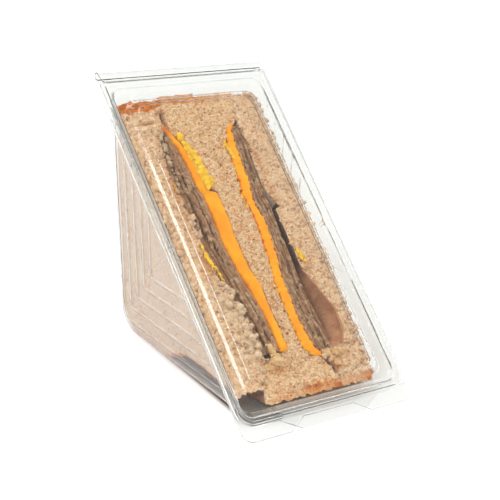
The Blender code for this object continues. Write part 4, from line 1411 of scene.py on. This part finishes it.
rise = sums(rib_tree, "MULTIPLY", rise, rise)
for factor in (given["Height"], read_mark(rib_tree, "fade"), read_mark(rib_tree, "side"),
               MILLIMETRE):
    rise = sums(rib_tree, "MULTIPLY", rise, factor)
lift = put(rib_tree, "ShaderNodeCombineXYZ", (0, rise))
wave = noise(rib_tree, read_place(rib_tree), 0.06, 1.0)
wave = sums(rib_tree, "MULTIPLY", sums(rib_tree, "SUBTRACT", wave, 0.5),
            sums(rib_tree, "MULTIPLY", given["Waviness"], 2 * MILLIMETRE))
move = vectors(rib_tree, "ADD", lift, straight_out(rib_tree, wave))
shape = put(rib_tree, "GeometryNodeMergeByDistance", (0, given["Geometry"]),
            ("Distance", JOIN_WITHIN))
shape = put(rib_tree, "GeometryNodeSetPosition", (0, shape), ("Offset", move))
end_shaper(rib_tree, shape, given, result)

# %% [markdown]
# ## The lid as a formed sheet
#
# The lid is a set of loops, each with its own size, corner radii and height. From the edge
# inwards they make the flange, a bead, the groove that plugs into the tray and the raised panel.
# The loops are first listed coarsely, then sampled finely and smoothed, which rounds every bend
# as forming does. The hinge is a roll that grows out of the top edge.

# %% Sizes of the lid
LID_HALF = 47.4          # half its width, in mm like all sizes here
LID_TAB_LOW = -13.0      # v of the middle tab's lower edge
LID_TAB_HALF = 17.8      # x where the tab has its full length
LID_TAB_ROOT = 27.5      # x where it starts
LID_TOP = 173.4          # v
HINGE_RADIUS = 1.75
FLAT = 0.3 + SHEET / 2   # the lid's flange lies on the tray's
BEAD = FLAT + 0.9        # heights above the front plane
GROOVE = -2.15
PLUG = OPEN_HALF - 0.35 - SHEET / 2      # half width of the part that plugs into the tray
PLUG_LOW = OPEN_LOW + 0.6
PLUG_HIGH = OPEN_HIGH - 0.6
LOOPS = [
    # (half width, low, high, radius low, radius high, height)
    (LID_HALF, FLANGE_LOW, LID_TOP, 8.0, 1.6, FLAT),
    (LID_HALF - 0.5, FLANGE_LOW + 0.5, LID_TOP - 0.5, 7.6, 1.6, FLAT),
    (LID_HALF - 1.0, FLANGE_LOW + 1.0, LID_TOP - 0.9, 7.2, 1.8, BEAD),
    (LID_HALF - 1.7, FLANGE_LOW + 1.7, LID_TOP - 1.5, 6.9, 2.2, BEAD),
    (LID_HALF - 2.3, FLANGE_LOW + 2.3, LID_TOP - 2.0, 6.7, 2.6, FLAT),
    (PLUG + 0.7, PLUG_LOW - 0.6, PLUG_HIGH + 0.6, 6.5, 6.2, FLAT),
    (PLUG + 0.1, PLUG_LOW, PLUG_HIGH, 6.5, 6.5, FLAT - 0.25),
    (PLUG, PLUG_LOW + 0.7, PLUG_HIGH - 0.7, 6.5, 6.5, -0.4),
    (PLUG - 0.3, PLUG_LOW + 2.1, PLUG_HIGH - 2.1, 6.5, 6.5, GROOVE + 0.35),
    (PLUG - 0.8, PLUG_LOW + 2.8, PLUG_HIGH - 2.8, 6.5, 6.5, GROOVE),
    (38.2, 3.4, 164.0, 4.4, 6.2, GROOVE),
    (37.5, 4.0, 163.4, 4.2, 6.0, GROOVE + 0.12),
    (36.0, 5.1, 162.3, 3.8, 5.9, -0.77),
    (35.4, 5.7, 161.7, 3.6, 5.8, -0.46),
    (33.25, 7.65, 159.75, 3.3, 5.6, -0.33),
    (32.66, 8.25, 159.2, 3.1, 5.5, 0.21),
    (31.9, 9.0, 158.3, 3.0, 5.4, 0.25),
    (27.0, 14.0, 153.0, 5.0, 5.0, 0.27),
    (16.0, 25.0, 142.0, 4.0, 4.0, 0.29),
    (0.0, 41.0, 126.0, 0.0, 0.0, 0.3),
]
LOOP_STEP = 0.16
LOOP_SOFT = 2            # passes of smoothing along the sheet's section
BOTTOM = np.array([-LID_TAB_ROOT, -24.5, -21, -LID_TAB_HALF, -9, 0, 9, LID_TAB_HALF, 21,
                   24.5, LID_TAB_ROOT])
CORNER_STEPS = 11
SIDE_STEPS = 14
TAB_LOOPS = 3            # the tab fades out over this many loops
print("loops in the table:", len(LOOPS))


# %% Loops of the lid
def sample_loops():
    """The loops at a fine spacing along the sheet's section, bends rounded."""
    table = np.array(LOOPS)
    stride = np.hypot(np.diff(table[:, 0]), np.diff(table[:, 5]))
    length = np.concatenate([[0], np.cumsum(stride)])
    fine = np.concatenate([np.arange(0, length[-4], LOOP_STEP), length[-4:]])
    out = np.stack([np.interp(fine, length, table[:, k]) for k in range(6)], -1)
    for _ in range(LOOP_SOFT):
        out[1:-4] = (out[:-5] + 2 * out[1:-4] + out[2:-3]) / 4
    return out


def lid_loop(half, low, high, r_low, r_high, height, tab):
    """One loop of the lid, from the left end of its lower edge round to the start."""
    room = min(1, (half - r_low) / LID_TAB_ROOT)
    share = np.clip((LID_TAB_ROOT - np.abs(BOTTOM)) / (LID_TAB_ROOT - LID_TAB_HALF), 0, 1)
    runs = [np.stack([BOTTOM * room, low + (LID_TAB_LOW - low) * share * tab], -1)]
    side = np.linspace(0, 1, SIDE_STEPS)[1:-1]
    for side_x, side_v, radius, turn in ((half - r_low, low + r_low, r_low, -90),
                                         (half - r_high, high - r_high, r_high, 0),
                                         (r_high - half, high - r_high, r_high, 90),
                                         (r_low - half, low + r_low, r_low, 180)):
        bend = np.radians(np.linspace(turn, turn + 90, CORNER_STEPS))
        runs.append(np.stack([side_x + radius * np.cos(bend),
                              side_v + radius * np.sin(bend)], -1))
        if turn in (-90, 90):
            rise = mix(low + r_low, high - r_high, side if turn < 0 else side[::-1])
            runs.append(np.stack([np.full(len(side), half if turn < 0 else -half), rise], -1))
    outline = np.concatenate(runs)
    return np.column_stack([outline, np.full(len(outline), -height)])


loops = [lid_loop(*row, tab=max(0, 1 - k / TAB_LOOPS))
         for k, row in enumerate(sample_loops())]
print("fine loops:", len(loops), "with", len(loops[0]), "points each")

# %% Hinge roll and lid mesh
ROLL_STEPS = 25          # points across the roll
ROLL_INSET = 1.6         # the roll's root is narrower than the hinge by this on each side
roll_angle = np.radians(np.arange(90, -151, -12))
roll = [(LID_TOP, FLAT), (LID_TOP + 0.5, FLAT + 0.1), (LID_TOP + 1.2, FLAT + 0.7),
        (HINGE_V - 1.2, HINGE_N + HINGE_RADIUS * 0.8)]
roll += list(zip(HINGE_V + HINGE_RADIUS * np.cos(roll_angle),
                 HINGE_N + HINGE_RADIUS * np.sin(roll_angle)))
spread = np.linspace(1, -1, ROLL_STEPS)
roll_rows = []
for rise, height in roll:
    half = LID_HALF - ROLL_INSET * (1 - smooth(LID_TOP, HINGE_V, rise))
    roll_rows.append(np.column_stack([spread * half, np.full(ROLL_STEPS, rise),
                                      np.full(ROLL_STEPS, -height)]))
numbers = np.arange(len(loops) * len(loops[0])).reshape(len(loops), -1)
roll_numbers = numbers.size + np.arange(len(roll_rows) * ROLL_STEPS).reshape(-1, ROLL_STEPS)
lid = new_piece("lid_sheet", np.concatenate(loops + roll_rows),
                np.concatenate([strips(numbers, True), strips(roll_numbers)]),
                side=0.0, inset=0.0, fade=0.0)
print("lid surface:", len(lid.data.polygons), "faces in", len(loops), "loops")

# %% [markdown]
# ## Clear plastic
#
# Clear sheet shows by what it mirrors and bends at its folds. Transmission does both. A small
# part of the weight is left out of the transmission, and that part scatters light like the fine
# haze of a handled pack. Path tracing would lose much of the light on its way in to the food,
# so the sheets cast no shadow and let diffuse light pass.


# %% Plastic materials
SHEET_IOR = 1.36         # less than real sheet has, so that its mirror images stay gentle
SHEET_SHADE = (0.93, 0.94, 0.925, 1.0)
SHARP_FOLD = math.radians(50)


def plastic(name, haze, roughness):
    """Clear sheet. Haze is the share of light that it scatters."""
    return new_material(name, Roughness=roughness, IOR=SHEET_IOR, Transmission_Weight=1 - haze,
                        Base_Color=SHEET_SHADE)[0]


tray_finish = plastic("tray_plastic", 0.045, 0.11)
lid_finish = plastic("lid_plastic", 0.01, 0.05)
print("materials:", tray_finish.name, "and", lid_finish.name)

# %% Sheets with their thickness
for piece, finish, ribs, body, slot in ((tray, tray_finish, 0.8, "pack", "tray_plastic"),
                                        (lid, lid_finish, 0.0, "cover", "lid_plastic")):
    grow(piece, rib_tree, Height=ribs, Waviness=0.12 if ribs else 0.0, Finish=finish)
    thick = piece.modifiers.new("sheet", "SOLIDIFY")
    thick.thickness = SHEET * MILLIMETRE
    thick.offset = 0
    bpy.context.view_layer.update()
    thick_shape = piece.evaluated_get(bpy.context.evaluated_depsgraph_get())
    piece.data = bpy.data.meshes.new_from_object(thick_shape)
    piece.modifiers.clear()
    piece.data.set_sharp_from_angle(angle=SHARP_FOLD)
    piece.visible_shadow = False
    piece.visible_diffuse = False
    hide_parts(slot.split("_")[0])
    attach(piece, body)
    print(piece.name, len(piece.data.polygons), "faces")

# %% [markdown]
# ## The surround
#
# The photograph was taken in an even white surround. The lid's flat panel mirrors one part of it,
# and full white there would wash out the food. So that part is dimmed, as a photographer would
# do with a dark card. Its place isn't guessed: it lies where the panel mirrors the camera.


# %% Surround
SURROUND = (0.735, 0.73, 0.72, 1)
SEEN_THROUGH = 0.4       # how far the surround is white when it is seen through the sheets
CARD_LEAVES = 0.5        # the share of light that the dark card leaves
CARD_FADE = (26, 16)     # degrees from its middle, where it starts and where it is full


def mirrored(x, v, d, tilt):
    """Where a surface mirrors the camera, from one of its points, if it leans left by tilt."""
    to_camera = (Vector(CAMERA_PLACE) - Vector(place(x, v, d))).normalized()
    normal = math.cos(tilt) * Vector(FRONT) - math.sin(tilt) * Vector((1, 0, 0))
    return (2 * to_camera.dot(normal) * normal - to_camera).normalized()


world = bpy.data.worlds.new("studio")
world.use_nodes = True
bpy.context.scene.world = world
tree = world.node_tree
plain = tree.nodes["Background"]
plain.inputs["Color"].default_value = SURROUND
white = put(tree, "ShaderNodeBackground", ("Color", (1, 1, 1, 1)))
black = put(tree, "ShaderNodeBackground", ("Color", (0, 0, 0, 1)))
through = sums(tree, "MULTIPLY", put(tree, "ShaderNodeLightPath", out=6), SEEN_THROUGH)
seen = sums(tree, "MAXIMUM", put(tree, "ShaderNodeLightPath"), through)
both = put(tree, "ShaderNodeMixShader", (0, seen), (1, plain.outputs[0]), (2, white))
middle = tuple(mirrored(0, MID_V, 0, 0.0))
facing = put(tree, "ShaderNodeVectorMath", (0, put(tree, "ShaderNodeTexCoord")), (1, middle),
             operation="DOT_PRODUCT", out=1)
start, full = (math.cos(math.radians(angle)) for angle in CARD_FADE)
card = ramp(tree, facing, start, full, 1.0, CARD_LEAVES)
both = put(tree, "ShaderNodeMixShader", (0, card), (1, black), (2, both))
tree.links.new(both, tree.nodes["World Output"].inputs["Surface"])
bpy.context.scene.view_settings.view_transform = "Standard"
print("the panel mirrors the direction", [round(part, 2) for part in middle])

# %% [markdown]
# ## The floor
#
# In the photograph the floor can't be told from the surround, so here it glows a little towards
# the camera, more so far away. The sheets cast no shadow, so a dark patch under the pack stands
# for the shade that real sheet gives, and lets the gaps below the food look dark. It ends just
# inside the pack's outline, and leaves out the corner that the photograph shows lit. Just outside
# the patch the floor glows as well, as painted light over the food's own shadow there.

# %% Floor
FLOOR_HALF = 6.0
FLOOR_SHADE = (0.83, 0.83, 0.83, 1)
PATCH_SHADE = (0.1, 0.075, 0.055, 1)
PATCH_FRONT = -0.066     # metres, as are the next three
PATCH_MIDDLE = 0.06      # from the front
PATCH_LONG = 0.055       # half its length
PATCH_WIDE = 0.0373      # half its width at the front
PATCH_TAPER = 0.042
LIT_RIGHT_OF = (-0.02, -0.017)
LIT_BEFORE = (-0.05, -0.042)
FAR_FLOOR = (0.5, 2.5)   # metres from the pack, where the floor's glow grows
FAR_GLOW = 0.42
NEAR_GLOW = 0.4
corners = [(-FLOOR_HALF, -FLOOR_HALF, 0), (FLOOR_HALF, -FLOOR_HALF, 0),
           (FLOOR_HALF, FLOOR_HALF, 0), (-FLOOR_HALF, FLOOR_HALF, 0)]
mesh = bpy.data.meshes.new("floor")
mesh.from_pydata(corners, [], [(0, 1, 2, 3)])
floor = bpy.data.objects.new("floor", mesh)
bpy.context.scene.collection.objects.link(floor)
floor_finish, tree, shader = new_material("floor", Roughness=0.9)
metres = put(tree, "ShaderNodeTexCoord", out=3)
side = put(tree, "ShaderNodeSeparateXYZ", (0, metres))
depth = side.node.outputs["Y"]
behind = sums(tree, "SUBTRACT", depth, PATCH_FRONT)
across = sums(tree, "ADD", sums(tree, "ABSOLUTE", side),
              sums(tree, "MULTIPLY", behind, PATCH_TAPER))
along = sums(tree, "ABSOLUTE", sums(tree, "SUBTRACT", behind, PATCH_MIDDLE))
away = sums(tree, "MAXIMUM", sums(tree, "DIVIDE", across, PATCH_WIDE),
            sums(tree, "DIVIDE", along, PATCH_LONG))
lit = sums(tree, "MULTIPLY", ramp(tree, side, *LIT_RIGHT_OF),
           ramp(tree, depth, *LIT_BEFORE, 1.0, 0.0))
away = sums(tree, "MAXIMUM", away, lit)
shade = mixed(tree, ramp(tree, away, 0.94, 1.0), PATCH_SHADE, FLOOR_SHADE)
tree.links.new(shade, shader.inputs["Base Color"])
far = put(tree, "ShaderNodeVectorMath", (0, metres), operation="LENGTH", out=1)
# painted light: a glow just outside the patch covers the food's shadow on the floor
glow = sums(tree, "MAXIMUM", ramp(tree, far, *FAR_FLOOR, 0.0, FAR_GLOW),
            ramp(tree, away, 0.98, 1.03, 0.0, NEAR_GLOW))
glow = sums(tree, "MULTIPLY", glow, put(tree, "ShaderNodeLightPath"))
tree.links.new(glow, shader.inputs["Emission Strength"])
shader.inputs["Emission Color"].default_value = (1, 1, 1, 1)
mesh.materials.append(floor_finish)
print("patch under the pack:", round(2000 * PATCH_WIDE), "by", round(2000 * PATCH_LONG), "mm")

# %% [markdown]
# ## The lamps
#
# The photograph has crisp white lines down the left of the lid. They are mirror images of a lamp
# in two narrow slopes of the sheet. So the strip lamp lies where a slope of about 40 degrees
# mirrors the camera, and its length covers the lines from their lower to their upper end. A faint
# strip beyond it carries the lines further up. The key lamp stands in the same place and lights
# the food, but no sheet mirrors it. Four soft boxes draw the edges, the ribs and the hinge.

# %% Lamps
SLOPE_FACE = math.radians(40)
SLOPE_PLACE = (-36.5, 1.2)       # x and d of the slope that mirrors the strip lamp
LAMP_AWAY = 3.0
STRIP_WIDTH = 0.34
AIM = Vector((0, 0, 0.06))
STRIPS = [
    # (name, v of the line's two ends, radiance, whether sheets mirror it)
    ("strip_lamp", (-6, 128), 10.0, True),
    ("faint_strip_lamp", (122, 156), 2.4, True),
    ("key_lamp", (-6, 128), 14.2, False),
]
SOFTBOXES = [
    # (name, direction, width, height, radiance, direction of its height)
    ("top_lamp", (-0.15, 0.25, 0.95), 1.4, 1.4, 4.8, (0, 1, 0)),
    ("edge_lamp", (0.55, 0.5, 0.67), 1.2, 0.8, 3.0, (0, 0, 1)),
    ("rib_lamp", (-0.5, 0.75, 0.4), 1.4, 1.4, 3.0, (0, 0, 1)),
    ("right_lamp", (0.85, -0.3, 0.45), 1.6, 1.6, 3.0, (0, 0, 1)),
]


def softbox(name, way, distance, width, height, radiance, along):
    """A rectangular lamp that looks at the pack, with its height turned along a direction."""
    lamp = bpy.data.objects.new(name, bpy.data.lights.new(name, "AREA"))
    lamp.data.shape = "RECTANGLE"
    lamp.data.size = width
    lamp.data.size_y = height
    lamp.data.energy = radiance * math.pi * width * height
    way = Vector(way).normalized()
    across = Vector(along).cross(way).normalized()
    turn = Matrix((across, way.cross(across), way)).transposed().to_4x4()
    lamp.matrix_world = Matrix.Translation(AIM + way * distance) @ turn
    bpy.context.scene.collection.objects.link(lamp)
    return lamp


def strip_end(v):
    """Where the slope mirrors the camera from v, at the lamps' distance."""
    x, d = SLOPE_PLACE
    return Vector(place(x, v, d)) + mirrored(x, v, d, SLOPE_FACE) * LAMP_AWAY


for name, ends, radiance, shiny in STRIPS:
    low_end, high_end = (strip_end(v) for v in ends)
    way = (low_end + high_end) / 2 - AIM
    along = high_end - low_end
    lamp = softbox(name, way, way.length, STRIP_WIDTH, along.length, radiance, along)
    lamp.visible_glossy = shiny
for name, way, width, height, radiance, along in SOFTBOXES:
    softbox(name, way, LAMP_AWAY, width, height, radiance, along)
